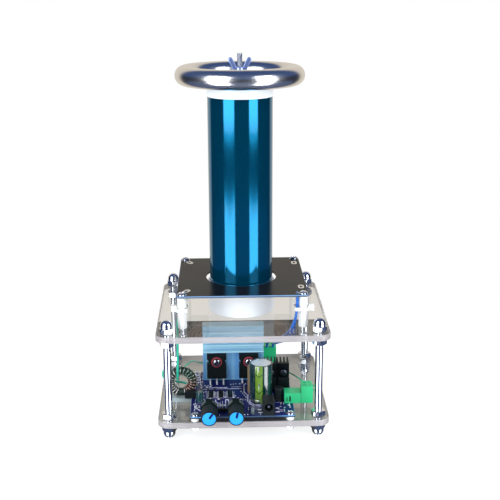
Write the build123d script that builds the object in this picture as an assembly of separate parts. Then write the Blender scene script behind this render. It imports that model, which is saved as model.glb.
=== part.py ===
from build123d import *
from math import atan2, ceil, cos, degrees, hypot, pi, radians, sin, tan
import os

os.makedirs("parts", exist_ok=True)

# Desktop resonant transformer on a two-plate frame, in millimetres, +Z up.
# The origin is on the stand plane, under the axis of the tall coil.
# The knobs face -Y.

# frame
plate_size = 132.0
plate_thick = 5.0
plate_corner = 9.0
column_inset = 8.5
column_span = plate_size - 2 * column_inset
column_length = 64.5
stud_d = 6.0
hex_across = 10.0
hex_nut_high = 5.0
cap_nut_high = 11.0
cap_hex_high = 5.2
cap_dome_d = 9.4
cap_thread_deep = 8.0
cap_flat_d = 2.4
hole_gap = 0.2
thread_gap = 0.05
seat_gap = 0.1

# raised board that carries the primary
board_margin = 16.0
board_size = plate_size - 2 * board_margin
board_thick = 1.6
board_corner = 3.0
board_hole_d = 56.0
board_screw_inset = 4.0
board_screw_span = board_size - 2 * board_screw_inset
standoff_across = 6.0
standoff_high = 25.0
m3_d = 3.0
m3_head_d = 6.0
m3_head_high = 1.9
m3_nut_across = 5.5
m3_nut_high = 2.4
standoff_screw_length = 8.0
trace_turns = 5
trace_inner_r = 31.0
trace_margin = 1.8
trace_fill = 0.75
trace_pitch = (board_size / 2 - trace_margin - trace_inner_r) / (trace_turns + trace_fill / 2)
trace_wide = trace_pitch * trace_fill
trace_thick = 0.12

# coil tower
form_d = 49.2
form_wall = 2.0
winding_thick = 0.4
winding_high = 144.0
collar_d = 53.0
collar_floor = 4.0
collar_sink = 1.1
cap_d = 50.6
cap_high = 7.6
spigot_wall = 2.0
spigot_deep = 8.0
m4_d = 4.0
m4_head_d = 7.6
m4_head_high = 2.6
m4_nut_across = 7.0
m4_nut_high = 3.2
tower_screw_length = 14.0
fit_gap = 0.03

# top electrode
ring_d = 98.5
ring_tube_d = 14.5
ring_wall = 1.0
web_thick = 1.2
ring_above_cap = 8.2
stud_above_web = 15.0
wing_hub_d = 7.0
wing_hub_high = 4.6
wing_span = 18.8
wing_high = 12.6
wing_thick = 2.0

# driver board
driver_wide = 80.0
driver_deep = 84.0
driver_x = -0.9
driver_front = -plate_size / 2
driver_corner = 2.0
driver_inset = 3.5
spacer_d = 6.0
spacer_high = 3.0

# heat sink and power transistors
sink_wide = 50.0
sink_high = 50.0
sink_thick = 5.0
sink_x = -6.9
sink_face = driver_front + 67.0
fin_count = 5
fin_pitch = 5.5
fin_thick = 1.5
fin_deep = 6.0
transistor_x = (-20.7, 5.7)
transistor_wide = 15.9
transistor_high = 21.0
transistor_thick = 5.0
transistor_raise = 3.4
transistor_hole_drop = 6.0
leg_pitch = 5.45
leg_wide = 1.2
leg_thick = 0.6
leg_forward = 3.6
leg_drop = 1.4
red_washer_d = 8.8
red_washer_thick = 1.0

# upright parts of the driver board
can_d = 18.0
can_high = 31.5
can_x, can_y = 14.4, driver_front + 29.6
can_lip = 0.8
film_size = (12.0, 5.6, 23.5)
film_x, film_y = 10.0, driver_front + 42.2
regulator_x = (22.3, 32.7)
regulator_y = driver_front + 39.6
regulator_size = (9.6, 4.4, 9.4)
tab_thick = 1.3
tab_high = 6.2
regulator_raise = 4.0
regulator_sink_size = (9.8, 14.0, 24.0)
regulator_fins = 4
choke_d = 7.6
choke_high = 11.0
choke_x, choke_y = 28.2, driver_front + 27.4
small_can_d = 6.0
small_can_high = 8.5
small_can_x, small_can_y = -34.2, driver_front + 27.6
chip_x = (-25.4, -17.5, -10.2)
chip_y = driver_front + 38.5
chip_size = (3.9, 9.9, 1.7)
chip_leg_count = 8
chip_leg_pitch = 1.27
resistor_x = (-33.0, -28.0, -22.0, 0.0, 3.0)
resistor_y = driver_front + 49.0
resistor_size = (1.6, 3.2, 0.6)
led_d = 3.0
led_high = 5.4
led_x, led_y = 6.7, driver_front + 4.0
pin_x, pin_y = -16.2, driver_front + 9.2
pin_count = 3
pin_pitch = 2.54
pin_side = 0.6
pin_high = 6.6
pin_base_high = 2.5

# controls and power socket
pot_x = (-26.4, -6.1)
shaft_above_board = 6.4
pot_wide = 12.4
pot_high = 11.7
pot_deep = 7.0
pot_chamfer = 4.2
pot_front_inset = 0.6
pot_tab_thick = 0.4
shaft_d = 6.0
shaft_length = 15.6
knob_d = 11.8
knob_length = 13.6
knob_wall = 1.4
knob_cap_d = 10.4
knob_cap_thick = 1.2
pointer_wide = 1.7
pointer_long = 4.6
pointer_turn = (35.0, 13.0)
jack_x = 19.0
jack_wide = 9.0
jack_high = 11.0
jack_deep = 14.0
jack_bore_d = 6.3
jack_bore_deep = 9.5
jack_bore_above = 6.8
jack_pin_d = 2.0

# pluggable terminals
pole_pitch = 5.08
pole_count = 2
header_long = 13.0
header_high = 8.4
header_wall = 0.9
header_over = 6.2
header_socket_deep = 8.6
rear_header_high = 12.0
plug_out = 9.4
plug_tall = 14.2
plug_tongue = 8.0
plug_gap = 0.3
side_plug_y = driver_front + 26.4
rear_plug_x = 24.4
rear_plug_y = driver_front + 82.2
terminal_wide = pole_pitch * pole_count + 0.6
terminal_screw_d = 3.0
terminal_screw_deep = 2.0
wire_hole_d = 3.0
wire_hole_deep = 4.0
lug_across = 0.9
left_connector_size = (9.0, 3.2, 6.4)
left_connector_x, left_connector_y = -41.6, driver_front + 34.2

# current core
core_x, core_y = 17.1 - plate_size / 2, driver_front + 41.0
core_major_r = 9.15
core_turn_r = 3.65
core_wire_d = 1.0
core_turns = 22
core_sweep = 330.0
core_start = -75.0
pad_wide = 15.4
pad_deep = 8.4
pad_high = 3.2
pad_sink = 0.4

# leads and ties
ring_lead_d = 1.8
sense_lead_d = 1.2
coil_lead_d = 2.0
lead_hole_d = 3.2
lead_hole_x, lead_hole_y = -board_screw_span / 2 - 4.0, -board_screw_span / 2 + 5.0
pair_hole_d = 8.0
pair_hole_x, pair_hole_y = board_screw_span / 2 - 8.6, -board_screw_span / 2 + 0.9
tie_high = 2.5
tie_thick = 1.0
tie_above_plate = 14.0
tie_head = (4.2, 3.6, 4.6)
tie_loose = 0.25

# levels worked out from the stack
plate_low = cap_nut_high
plate_low_top = plate_low + plate_thick
plate_high = plate_low_top + column_length
plate_high_top = plate_high + plate_thick
board_low = plate_high_top + standoff_high
board_top = board_low + board_thick
driver_low = plate_low_top + spacer_high
driver_top = driver_low + board_thick
winding_low = board_low + 0.9
winding_top = winding_low + winding_high
cap_top = winding_top + cap_high
ring_z = cap_top + ring_above_cap
web_low = ring_z
web_top = web_low + web_thick
stud_top = web_top + stud_above_web
driver_back = driver_front + driver_deep
driver_right = driver_x + driver_wide / 2
shaft_z = driver_top + shaft_above_board
core_z = plate_low_top + pad_high - pad_sink + core_major_r + core_turn_r + core_wire_d / 2


def box(x0, x1, y0, y1, z0, z1):
    """Box between two corners."""
    return Pos((x0 + x1) / 2, (y0 + y1) / 2, (z0 + z1) / 2) * Box(x1 - x0, y1 - y0, z1 - z0)


def block(x, y, z, wide, deep, high):
    """Box standing at height z, centred on x and y."""
    return Pos(x, y, z + high / 2) * Box(wide, deep, high)


def rod(x, y, z, d, high):
    """Upright cylinder standing at height z."""
    return Pos(x, y, z + high / 2) * Cylinder(d / 2, high)


def rod_y(x, y, z, d, length):
    """Cylinder along +Y from y."""
    return Pos(x, y + length / 2, z) * Rot(X=90) * Cylinder(d / 2, length)


def prism(x, y, z, across, high, turn=0.0):
    """Upright hexagonal bar, its size given across the flats."""
    outline = RegularPolygon(across / 2, 6, major_radius=False, rotation=turn)
    return Pos(x, y, z) * extrude(outline, high)


def corners(span):
    """The four corners of a square."""
    half = span / 2
    return [(x, y) for x in (-half, half) for y in (-half, half)]


def driver_corners():
    """The four screw places of the driver board."""
    half = driver_wide / 2 - driver_inset
    front = driver_front + driver_inset
    back = driver_back - driver_inset
    return [(driver_x + side * half, y) for side in (-1, 1) for y in (front, back)]


def joined(solids):
    """Separate solids of one node."""
    return Compound(children=[s for s in solids])


def save(name, shape):
    export_step(shape, f"parts/{name}.step")


def hex_nut(x, y, z, across, high, bore, turn=0.0):
    """Hexagonal nut with chamfered points and a bore."""
    body = prism(x, y, z, across, high, turn)
    turned = Pos(x, y, z + high / 2) * Cylinder(across * 0.56, high)
    turned = chamfer(turned.edges().filter_by(GeomType.CIRCLE), across * 0.06)
    return (body & turned) - rod(x, y, z, bore, high)


def cap_nut(x, y, z, up):
    """Domed cap nut whose open face is at z; it points up or down."""
    dome_high = (cap_dome_d ** 2 - cap_flat_d ** 2) ** 0.5 / 2
    straight = cap_nut_high - dome_high - cap_hex_high
    body = prism(0, 0, 0, hex_across, cap_hex_high)
    rounded = Pos(0, 0, cap_hex_high / 2) * Cylinder(hex_across * 0.56, cap_hex_high)
    body = body & chamfer(rounded.edges().filter_by(GeomType.CIRCLE), hex_across * 0.06)
    body += rod(0, 0, cap_hex_high, cap_dome_d, straight)
    dome = Pos(0, 0, cap_hex_high + straight) * Sphere(cap_dome_d / 2)
    body += dome & block(0, 0, cap_hex_high, cap_dome_d, cap_dome_d, straight + dome_high)
    body -= rod(0, 0, 0, stud_d + 2 * thread_gap, cap_thread_deep)
    turn = Rot(X=0) if up else Rot(X=180)
    return Pos(x, y, z) * turn * body


def pan_screw(x, y, z, d, head_d, head_high, length, up=False):
    """Cross-slotted pan screw; z is the seat under its head, which is above unless up."""
    head = Pos(0, 0, head_high / 2) * Cylinder(head_d / 2, head_high)
    head = fillet(head.edges().group_by(Axis.Z)[-1], head_high * 0.6)
    slot = block(0, 0, head_high * 0.45, head_d * 0.55, head_d * 0.13, head_high)
    slot += block(0, 0, head_high * 0.45, head_d * 0.13, head_d * 0.55, head_high)
    screw = (head - slot) + rod(0, 0, -length, d, length)
    turn = Rot(X=180) if up else Rot(X=0)
    return Pos(x, y, z) * turn * screw


def frame_plate(z, holes):
    """Clear square plate with rounded corners; holes are (x, y, diameter)."""
    outline = RectangleRounded(plate_size, plate_size, plate_corner)
    plate = Pos(0, 0, z) * extrude(outline, plate_thick)
    for x, y, d in holes:
        plate -= rod(x, y, z, d, plate_thick)
    return plate


def make_frame():
    stud_hole = stud_d + 2 * hole_gap
    m3_hole = m3_d + 2 * hole_gap
    low = [(x, y, stud_hole) for x, y in corners(column_span)]
    low += [(x, y, m3_hole) for x, y in driver_corners()]
    save("bottom_plate", frame_plate(plate_low, low))
    high = [(x, y, stud_hole) for x, y in corners(column_span)]
    high += [(x, y, m3_hole) for x, y in corners(board_screw_span)]
    high += [(0, 0, m4_d + 2 * hole_gap), (lead_hole_x, lead_hole_y, lead_hole_d)]
    high += [(pair_hole_x, pair_hole_y, pair_hole_d)]
    save("top_plate", frame_plate(plate_high, high))

    grip = cap_thread_deep - 0.6
    bore = stud_d + 2 * thread_gap
    places = corners(column_span)
    stud_low = plate_low - grip
    stud_high = plate_high_top + grip
    save("columns", joined([rod(x, y, stud_low, stud_d, stud_high - stud_low) for x, y in places]))
    feet = [cap_nut(x, y, plate_low, False) for x, y in places]
    caps = [cap_nut(x, y, plate_high_top, True) for x, y in places]
    save("cap_nuts", joined(feet + caps))
    levels = (plate_low_top, plate_high - hex_nut_high)
    save("column_nuts", joined([hex_nut(x, y, z, hex_across, hex_nut_high, bore, 15)
                                for z in levels for x, y in places]))


def spiral(turns, pitch, inner_r, z):
    """Two-centre spiral of half turns, seen from above, on the level z."""
    edges = []
    radius = inner_r
    side = 1
    start = Vector(inner_r, 0, z)
    for _ in range(2 * turns):
        end = start - Vector(2 * side * radius, 0, 0)
        middle = Vector((start.X + end.X) / 2, side * radius, z)
        edges.append(ThreePointArc(start, middle, end))
        start = end
        radius += pitch / 2
        side = -side
    return edges


def make_primary_board():
    outline = RectangleRounded(board_size, board_size, board_corner)
    board = Pos(0, 0, board_low) * extrude(outline, board_thick)
    board -= rod(0, 0, board_low, board_hole_d, board_thick)
    bore = m3_d + 2 * thread_gap
    posts = []
    screws = []
    for x, y in corners(board_screw_span):
        board -= rod(x, y, board_low, m3_d + 2 * hole_gap, board_thick)
        post = prism(x, y, plate_high_top, standoff_across, standoff_high, 30)
        posts.append(post - rod(x, y, plate_high_top, bore, standoff_high))
        screws.append(pan_screw(x, y, board_top, m3_d, m3_head_d, m3_head_high,
                                standoff_screw_length))
        screws.append(pan_screw(x, y, plate_high, m3_d, m3_head_d, m3_head_high,
                                standoff_screw_length + plate_thick, up=True))
    save("primary_board", board)
    save("board_standoffs", joined(posts))
    trace_low = board_low - trace_thick
    outer = spiral(trace_turns, trace_pitch, trace_inner_r + trace_wide / 2, trace_low)
    inner = spiral(trace_turns, trace_pitch, trace_inner_r - trace_wide / 2, trace_low)
    ends = [Line(outer[0] @ 0, inner[0] @ 0), Line(outer[-1] @ 1, inner[-1] @ 1)]
    save("primary_trace", extrude(make_face(outer + inner + ends), trace_thick))
    return screws


def make_tower():
    collar_top = board_top - collar_sink
    bore = form_d + 2 * fit_gap
    collar = rod(0, 0, plate_high_top, collar_d, collar_top - plate_high_top)
    floor_top = plate_high_top + collar_floor
    collar -= rod(0, 0, floor_top, bore, collar_top - floor_top)
    collar -= rod(0, 0, plate_high_top, m4_d + 2 * hole_gap, collar_floor)
    save("coil_base_collar", collar)

    tube = rod(0, 0, floor_top, form_d, winding_top - floor_top)
    tube -= rod(0, 0, floor_top, form_d - 2 * form_wall, winding_top - floor_top)
    save("coil_form", tube)

    sleeve = rod(0, 0, winding_low, form_d + 2 * winding_thick, winding_high)
    sleeve -= rod(0, 0, winding_low, form_d + 2 * fit_gap, winding_high)
    save("secondary_winding", sleeve)

    cap = rod(0, 0, winding_top, cap_d, cap_high)
    cap = fillet(cap.edges().group_by(Axis.Z)[-1], 0.8)
    spigot_d = form_d - 2 * form_wall - 2 * fit_gap
    spigot = rod(0, 0, winding_top - spigot_deep, spigot_d, spigot_deep)
    spigot -= rod(0, 0, winding_top - spigot_deep, spigot_d - 2 * spigot_wall, spigot_deep)
    cap = cap + spigot - rod(0, 0, winding_top, m4_d + 2 * hole_gap, cap_high)
    save("coil_top_cap", cap)

    save("tower_screw", pan_screw(0, 0, plate_high, m4_d, m4_head_d, m4_head_high,
                                  tower_screw_length, up=True))


def make_electrode():
    major = (ring_d - ring_tube_d) / 2
    tube = Pos(0, 0, ring_z) * Torus(major, ring_tube_d / 2)
    web = rod(0, 0, web_low, 2 * (major - ring_tube_d / 4), web_thick)
    shell = tube + web
    inner = Pos(0, 0, ring_z) * Torus(major, ring_tube_d / 2 - ring_wall)
    shell = shell - inner - rod(0, 0, web_low, m4_d + 2 * hole_gap, web_thick)
    save("top_electrode", shell)

    nut_bore = m4_d + 2 * thread_gap
    stud_low = winding_top - m4_nut_high
    save("electrode_stud", rod(0, 0, stud_low, m4_d, stud_top - stud_low))
    levels = (plate_high_top + collar_floor, stud_low, cap_top, web_low - m4_nut_high)
    save("tower_nuts", joined([hex_nut(0, 0, z, m4_nut_across, m4_nut_high, nut_bore)
                               for z in levels]))
    save("wing_nut", wing_nut(web_top))


def wing_nut(z):
    """Round hub with two ears that rise and spread; its bore clears the stud."""
    hub = Pos(0, 0, z) * extrude(Circle(wing_hub_d / 2 + 0.8), wing_hub_high, taper=8)
    ears = []
    for side in (-1, 1):
        root = side * wing_hub_d * 0.32
        tip = side * (wing_span / 2 - wing_thick)
        line = Polyline((root, 0.6), (root + side * 3.6, 0.6), (tip + side * 1.9, wing_high - 1.6),
                        (tip + side * 0.6, wing_high), (tip - side * 1.8, wing_high),
                        (root, wing_hub_high - 0.4), close=True)
        face = Plane.XZ * make_face(line)
        ears.append(Pos(0, wing_thick / 2, z) * extrude(face, wing_thick))
    body = hub + ears[0] + ears[1]
    return body - rod(0, 0, z, m4_d + 2 * thread_gap, wing_high)


def make_driver_board():
    outline = RectangleRounded(driver_wide, driver_deep, driver_corner)
    middle = (driver_front + driver_back) / 2
    board = Pos(driver_x, middle, driver_low) * extrude(outline, board_thick)
    spacers = []
    screws = []
    nuts = []
    length = driver_top - plate_low + m3_nut_high + 0.6
    for x, y in driver_corners():
        board -= rod(x, y, driver_low, m3_d + 2 * hole_gap, board_thick)
        spacer = rod(x, y, plate_low_top, spacer_d, spacer_high)
        spacers.append(spacer - rod(x, y, plate_low_top, m3_d + 2 * hole_gap, spacer_high))
        screws.append(pan_screw(x, y, driver_top, m3_d, m3_head_d, m3_head_high, length))
        nuts.append(hex_nut(x, y, plate_low - m3_nut_high, m3_nut_across, m3_nut_high,
                            m3_d + 2 * thread_gap))
    save("driver_board", board)
    save("driver_spacers", joined(spacers))
    save("driver_nuts", joined(nuts))
    return screws


def sink_screw(x, z, seat_y, head_d=m3_head_d, length=8.0):
    """Pan screw that enters along +Y; seat_y is the plane under its head."""
    screw = pan_screw(0, 0, 0, m3_d, head_d, m3_head_high, length)
    return Pos(x, seat_y, z) * Rot(X=90) * screw


def make_power_stage():
    x0, x1 = sink_x - sink_wide / 2, sink_x + sink_wide / 2
    top = driver_top + sink_high
    sink = box(x0, x1, sink_face, sink_face + sink_thick, driver_top, top)
    for index in range(fin_count):
        z = top - index * fin_pitch
        sink += box(x0, x1, sink_face - fin_deep, sink_face, z - fin_thick, z)
    bodies = []
    legs = []
    washers = []
    screws = []
    low = driver_top + transistor_raise
    high = low + transistor_high
    hole_z = high - transistor_hole_drop
    front = sink_face - transistor_thick
    hole = m3_d + 2 * hole_gap
    for x in transistor_x:
        body = box(x - transistor_wide / 2, x + transistor_wide / 2, front, sink_face, low, high)
        body = chamfer(body.edges().group_by(Axis.Y)[0], 0.5)
        bodies.append(body - rod_y(x, front, hole_z, hole, transistor_thick))
        sink -= rod_y(x, sink_face, hole_z, m3_d + 2 * thread_gap, sink_thick)
        for step in (-1, 0, 1):
            legs.append(transistor_leg(x + step * leg_pitch, front + 2.4, low))
        washer = rod_y(x, front - red_washer_thick, hole_z, red_washer_d, red_washer_thick)
        washers.append(washer - rod_y(x, front - red_washer_thick, hole_z, hole, red_washer_thick))
        screws.append(sink_screw(x, hole_z, front - red_washer_thick))
    save("heat_sink", sink)
    save("power_transistors", joined(bodies))
    save("insulating_washers", joined(washers))
    return legs, screws


def transistor_leg(x, y, z):
    """Leg that leaves the body, steps forward and enters the board."""
    half = leg_wide / 2
    bend = z - leg_drop
    foot_y = y - leg_forward
    leg = box(x - half, x + half, y - leg_thick, y, bend, z)
    leg += box(x - half, x + half, foot_y - leg_thick, y, bend - leg_thick, bend)
    leg += box(x - half, x + half, foot_y - leg_thick, foot_y, driver_top, bend)
    return leg


def make_capacitors():
    lower = rod(can_x, can_y, driver_top, can_d, can_high)
    rim = fillet(lower.edges().filter_by(GeomType.CIRCLE), 1.2)
    recess = rod(can_x, can_y, driver_top + can_high - can_lip, can_d - 2.6, can_lip)
    save("reservoir_capacitor", rim - recess)
    disc = rod(can_x, can_y, driver_top + can_high - can_lip, can_d - 2.7, 0.4)
    save("capacitor_top", disc)
    film = block(film_x, film_y, driver_top, *film_size)
    save("film_capacitor", fillet(film.edges().filter_by(Axis.Z), 0.8))
    small = rod(small_can_x, small_can_y, driver_top, small_can_d, small_can_high)
    save("small_capacitor", fillet(small.edges().filter_by(GeomType.CIRCLE), 0.6))
    choke = rod(choke_x, choke_y, driver_top, choke_d, choke_high)
    save("filter_choke", fillet(choke.edges().filter_by(GeomType.CIRCLE), 0.7))


def make_regulators():
    wide, thick, high = regulator_size
    sink_w, sink_d, sink_h = regulator_sink_size
    tabs_top = driver_top + regulator_raise + high + tab_high
    back = regulator_y + thick
    bodies = []
    tabs = []
    sinks = []
    screws = []
    for x in regulator_x:
        low = driver_top + regulator_raise
        body = box(x - wide / 2, x + wide / 2, regulator_y, back - tab_thick, low, low + high)
        bodies.append(chamfer(body.edges().group_by(Axis.Y)[0], 0.5))
        tab = box(x - wide / 2, x + wide / 2, back - tab_thick, back, low, tabs_top)
        hole_z = tabs_top - tab_high / 2
        tab -= rod_y(x, back - tab_thick, hole_z, m3_d + 2 * hole_gap, tab_thick)
        for step in (-1, 0, 1):
            leg_x = x + step * pin_pitch
            tab += box(leg_x - 0.4, leg_x + 0.4, back - tab_thick, back - tab_thick + 0.6,
                       driver_top, low)
        tabs.append(tab)
        sinks.append(finned_sink(x, back, sink_w, sink_d, sink_h, hole_z))
        screws.append(sink_screw(x, hole_z, back - tab_thick, length=tab_thick + 2.4))
    save("regulators", joined(bodies))
    save("regulator_tabs", joined(tabs))
    save("regulator_heat_sinks", joined(sinks))
    return screws


def finned_sink(x, y, wide, deep, high, hole_z):
    """Upright heat sink: a back plate facing -Y and thin fins behind it."""
    plate = 3.0
    sink = box(x - wide / 2, x + wide / 2, y, y + plate, driver_top, driver_top + high)
    fin = 1.3
    step = (wide - fin) / (regulator_fins - 1)
    for index in range(regulator_fins):
        fin_x = x - wide / 2 + index * step
        sink += box(fin_x, fin_x + fin, y + plate, y + deep, driver_top, driver_top + high)
    return sink - rod_y(x, y, hole_z, m3_d + 2 * thread_gap, plate)


def make_small_parts():
    wide, deep, high = chip_size
    chips = []
    legs = []
    for x in chip_x:
        body = block(x, chip_y, driver_top + 0.2, wide, deep, high)
        chips.append(chamfer(body.edges().group_by(Axis.Z)[-1], 0.25))
        first = chip_y - (chip_leg_count - 1) * chip_leg_pitch / 2
        for index in range(chip_leg_count):
            y = first + index * chip_leg_pitch
            for side in (-1, 1):
                legs.append(chip_leg(x + side * wide / 2, y, side))
    save("control_chips", joined(chips))
    chips_r = [block(x, resistor_y, driver_top, *resistor_size) for x in resistor_x]
    chips_r += [block(x, chip_y - 9.6, driver_top, *resistor_size) for x in chip_x]
    save("chip_resistors", joined(chips_r))
    lens = rod(led_x, led_y, driver_top + 0.6, led_d, led_high)
    lens = fillet(lens.edges().group_by(Axis.Z)[-1], led_d * 0.45)
    lens += rod(led_x, led_y, driver_top, led_d + 0.9, 0.9)
    save("indicator_led", lens)
    base = block(pin_x, pin_y, driver_top, pin_pitch * pin_count, pin_pitch, pin_base_high)
    side = block(left_connector_x, left_connector_y, driver_top, *left_connector_size)
    save("board_connectors", joined([base, side]))
    base_top = driver_top + pin_base_high
    pins = [block(pin_x + (index - (pin_count - 1) / 2) * pin_pitch, pin_y, base_top,
                  pin_side, pin_side, pin_high - pin_base_high) for index in range(pin_count)]
    return legs, pins


def chip_leg(x, y, side):
    """Gull-wing leg of a chip, from its side to the board."""
    out = side * 0.9
    half = 0.2
    x0, x1 = sorted((x, x + out * 0.45))
    leg = box(x0, x1, y - half, y + half, driver_top + 0.85, driver_top + 1.05)
    x0, x1 = sorted((x + out * 0.3, x + out * 0.55))
    leg += box(x0, x1, y - half, y + half, driver_top, driver_top + 1.05)
    x0, x1 = sorted((x + out * 0.3, x + out))
    leg += box(x0, x1, y - half, y + half, driver_top, driver_top + 0.2)
    return leg


def make_controls():
    front = driver_front + pot_front_inset
    bodies = []
    tabs = []
    for x in pot_x:
        body = box(x - pot_wide / 2, x + pot_wide / 2, front, front + pot_deep,
                   driver_top, driver_top + pot_high)
        roof = body.edges().filter_by(Axis.Y).group_by(Axis.Z)[-1]
        body = chamfer(roof, pot_chamfer)
        body -= rod_y(x, front, shaft_z, shaft_d + 2 * thread_gap, pot_deep - 1.5)
        bodies.append(body)
        for side in (-1, 1):
            slope = Pos(x + side * (pot_wide - pot_chamfer) / 2, front + pot_deep / 2,
                        driver_top + pot_high - pot_chamfer / 2) * Rot(Y=side * 45)
            plate = Box(pot_chamfer * 1.1, pot_deep * 0.6, pot_tab_thick)
            tabs.append(slope * Pos(0, 0, pot_tab_thick / 2) * plate)
    save("potentiometers", joined(bodies))
    for x, name in zip(pot_x, ("left", "right")):
        make_knob(x, name, front)
    make_jack()
    return tabs


def make_knob(x, name, front):
    """Shaft, knob and face cap, with the pointer at the top at its zero turn."""
    shaft_end = front - shaft_length
    face_y = shaft_end - 1.6
    inside = pot_deep - 2.0
    save(f"{name}_shaft", rod_y(x, shaft_end, shaft_z, shaft_d, shaft_length + inside))
    knob = rod_y(x, face_y, shaft_z, knob_d, knob_length)
    knob = fillet(knob.edges().group_by(Axis.Y)[0], 0.3)
    knob -= rod_y(x, face_y, shaft_z, knob_cap_d + 2 * fit_gap, knob_cap_thick)
    bore = shaft_d + 2 * fit_gap
    knob -= rod_y(x, shaft_end, shaft_z, bore, knob_length)
    save(f"{name}_knob", knob)
    cap = rod_y(x, face_y, shaft_z, knob_cap_d, knob_cap_thick)
    turn = pointer_turn[0] if name == "left" else pointer_turn[1]
    groove = box(-pointer_wide / 2, pointer_wide / 2, face_y, face_y + 0.5, 0.2, pointer_long)
    groove = Pos(x, 0, shaft_z) * Rot(Y=turn) * groove
    save(f"{name}_knob_cap", cap - groove)


def make_jack():
    front = driver_front
    body = box(jack_x - jack_wide / 2, jack_x + jack_wide / 2, front, front + jack_deep,
               driver_top, driver_top + jack_high)
    body = chamfer(body.edges().filter_by(Axis.Y).group_by(Axis.Z)[-1], 0.8)
    hole_z = driver_top + jack_bore_above
    body -= rod_y(jack_x, front, hole_z, jack_bore_d, jack_bore_deep)
    save("power_jack", body)
    pin = rod_y(jack_x, front + 1.6, hole_z, jack_pin_d, jack_bore_deep - 1.6)
    save("power_jack_pin", pin)


def header(length, high):
    """Open shroud along +X from the origin, standing on its lowest face, with two pins."""
    half = terminal_wide / 2
    shroud = box(0, length, -half, half, 0, high)
    socket = box(length - header_socket_deep, length, -half + header_wall, half - header_wall,
                 header_wall, high - header_wall)
    pins = []
    for pole in range(pole_count):
        y = (pole - (pole_count - 1) / 2) * pole_pitch
        pins.append(block(length - header_socket_deep + 3.0, y, high / 2 - lug_across / 2,
                          6.0, lug_across, lug_across))
    return shroud - socket, pins


def plug(high):
    """Plug along +X from the mouth of its header: a tongue and a taller body."""
    half = terminal_wide / 2
    body = box(plug_gap, plug_out, -half, half, 0, plug_tall)
    body = chamfer(body.edges().filter_by(Axis.Y).group_by(Axis.X)[-1], 0.6)
    side = half - header_wall - plug_gap
    tongue = box(-plug_tongue, plug_gap, -side, side, header_wall + plug_gap,
                 high - header_wall - plug_gap)
    body += tongue
    screws = []
    for pole in range(pole_count):
        y = (pole - (pole_count - 1) / 2) * pole_pitch
        body -= box(-plug_tongue, -0.6, y - lug_across, y + lug_across,
                    high / 2 - lug_across, high / 2 + lug_across)
        body -= rod(3.2, y, plug_tall - terminal_screw_deep, terminal_screw_d, terminal_screw_deep)
        body -= rod(7.0, y, plug_tall - terminal_screw_deep, 1.3, terminal_screw_deep)
        body -= box(plug_out - wire_hole_deep, plug_out, y - wire_hole_d / 2, y + wire_hole_d / 2,
                    plug_tall / 2 - wire_hole_d / 2, plug_tall / 2 + wire_hole_d / 2)
        head = rod(3.2, y, plug_tall - terminal_screw_deep, terminal_screw_d - 0.1, 1.2)
        slot = block(3.2, y, plug_tall - terminal_screw_deep + 0.7, terminal_screw_d * 0.8, 0.5, 1.2)
        screws.append(head - slot)
    return body, screws


def make_terminals():
    side_mouth = driver_right + header_over
    place = Pos(side_mouth - header_long, side_plug_y, driver_top)
    side_shroud, pins = header(header_long, header_high)
    all_pins = [place * pin for pin in pins]
    side_shroud = place * side_shroud
    place = Pos(side_mouth, side_plug_y, driver_top)
    body, screws = plug(header_high)
    save("side_plug", place * body)
    save("side_plug_screws", joined([place * screw for screw in screws]))

    # the rear terminal stands upright: its long axis is +Z and its screws face -Y
    upright = Rot(Z=-90) * Rot(Y=-90)
    low_y = rear_plug_y + header_high / 2
    place = Pos(rear_plug_x, low_y, driver_top) * upright
    rear_shroud, pins = header(rear_header_high, header_high)
    all_pins += [place * pin for pin in pins]
    save("terminal_headers", joined([side_shroud, place * rear_shroud]))
    place = Pos(rear_plug_x, low_y, driver_top + rear_header_high) * upright
    save("rear_plug", place * body)
    save("rear_plug_screws", joined([place * screw for screw in screws]))
    return all_pins


def core_point(angle, radius):
    """Point of the core's middle plane; the angle counts from +X towards +Z."""
    return Vector(core_x + radius * cos(radians(angle)), core_y,
                  core_z + radius * sin(radians(angle)))


def make_core():
    core_r = core_turn_r - core_wire_d / 2 - seat_gap
    ring = Pos(core_x, core_y, core_z) * Rot(X=90) * Torus(core_major_r, core_r)
    save("current_core", ring)

    # each loop is two half turns between the outer and the inner side of the ring
    outer = core_major_r + core_turn_r
    inner = core_major_r - core_turn_r
    step = core_sweep / core_turns
    start = core_point(core_start, outer)
    edges = [Line(start + Vector(0, core_wire_d, 0), start)]
    front = Vector(0, -1, 0)
    points = [start]
    for index in range(2 * core_turns):
        radius = inner if index % 2 == 0 else outer
        end = core_point(core_start + (index + 1) * step / 2, radius)
        along = front if index % 2 == 0 else -front
        middle = (start + end) / 2 + along * ((end - start).length / 2)
        edges.append(ThreePointArc(start, middle, end))
        start = end
        points.append(end)
    edges.append(Line(start, start + Vector(0, -core_wire_d, 0)))
    path = Wire(edges)
    section = Plane(origin=path @ 0, z_dir=path % 0) * Circle(core_wire_d / 2)
    winding = sweep(section, path=path)
    report_gap(path, core_wire_d, "core winding")
    check_tube(winding, path, core_wire_d, "core winding")
    save("core_winding", winding)

    pad = block(core_x, core_y, plate_low_top, pad_wide, pad_deep, pad_high)
    reach = core_major_r + core_turn_r + core_wire_d / 2 + seat_gap
    save("core_pad", pad - rod_y(core_x, core_y - pad_deep, core_z, 2 * reach, 2 * pad_deep))


def report_gap(path, d, name):
    """Least gap of a wound tube to itself, measured between points of its path."""
    count = 900
    spots = [path @ (index / count) for index in range(count + 1)]
    apart = ceil(3.2 * d / (path.length / count))
    least = min((spots[i] - spots[j]).length for i in range(0, count + 1, 2)
                for j in range(i + apart, count + 1))
    print(f"{name}: least gap {least - d:.2f}")


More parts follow.
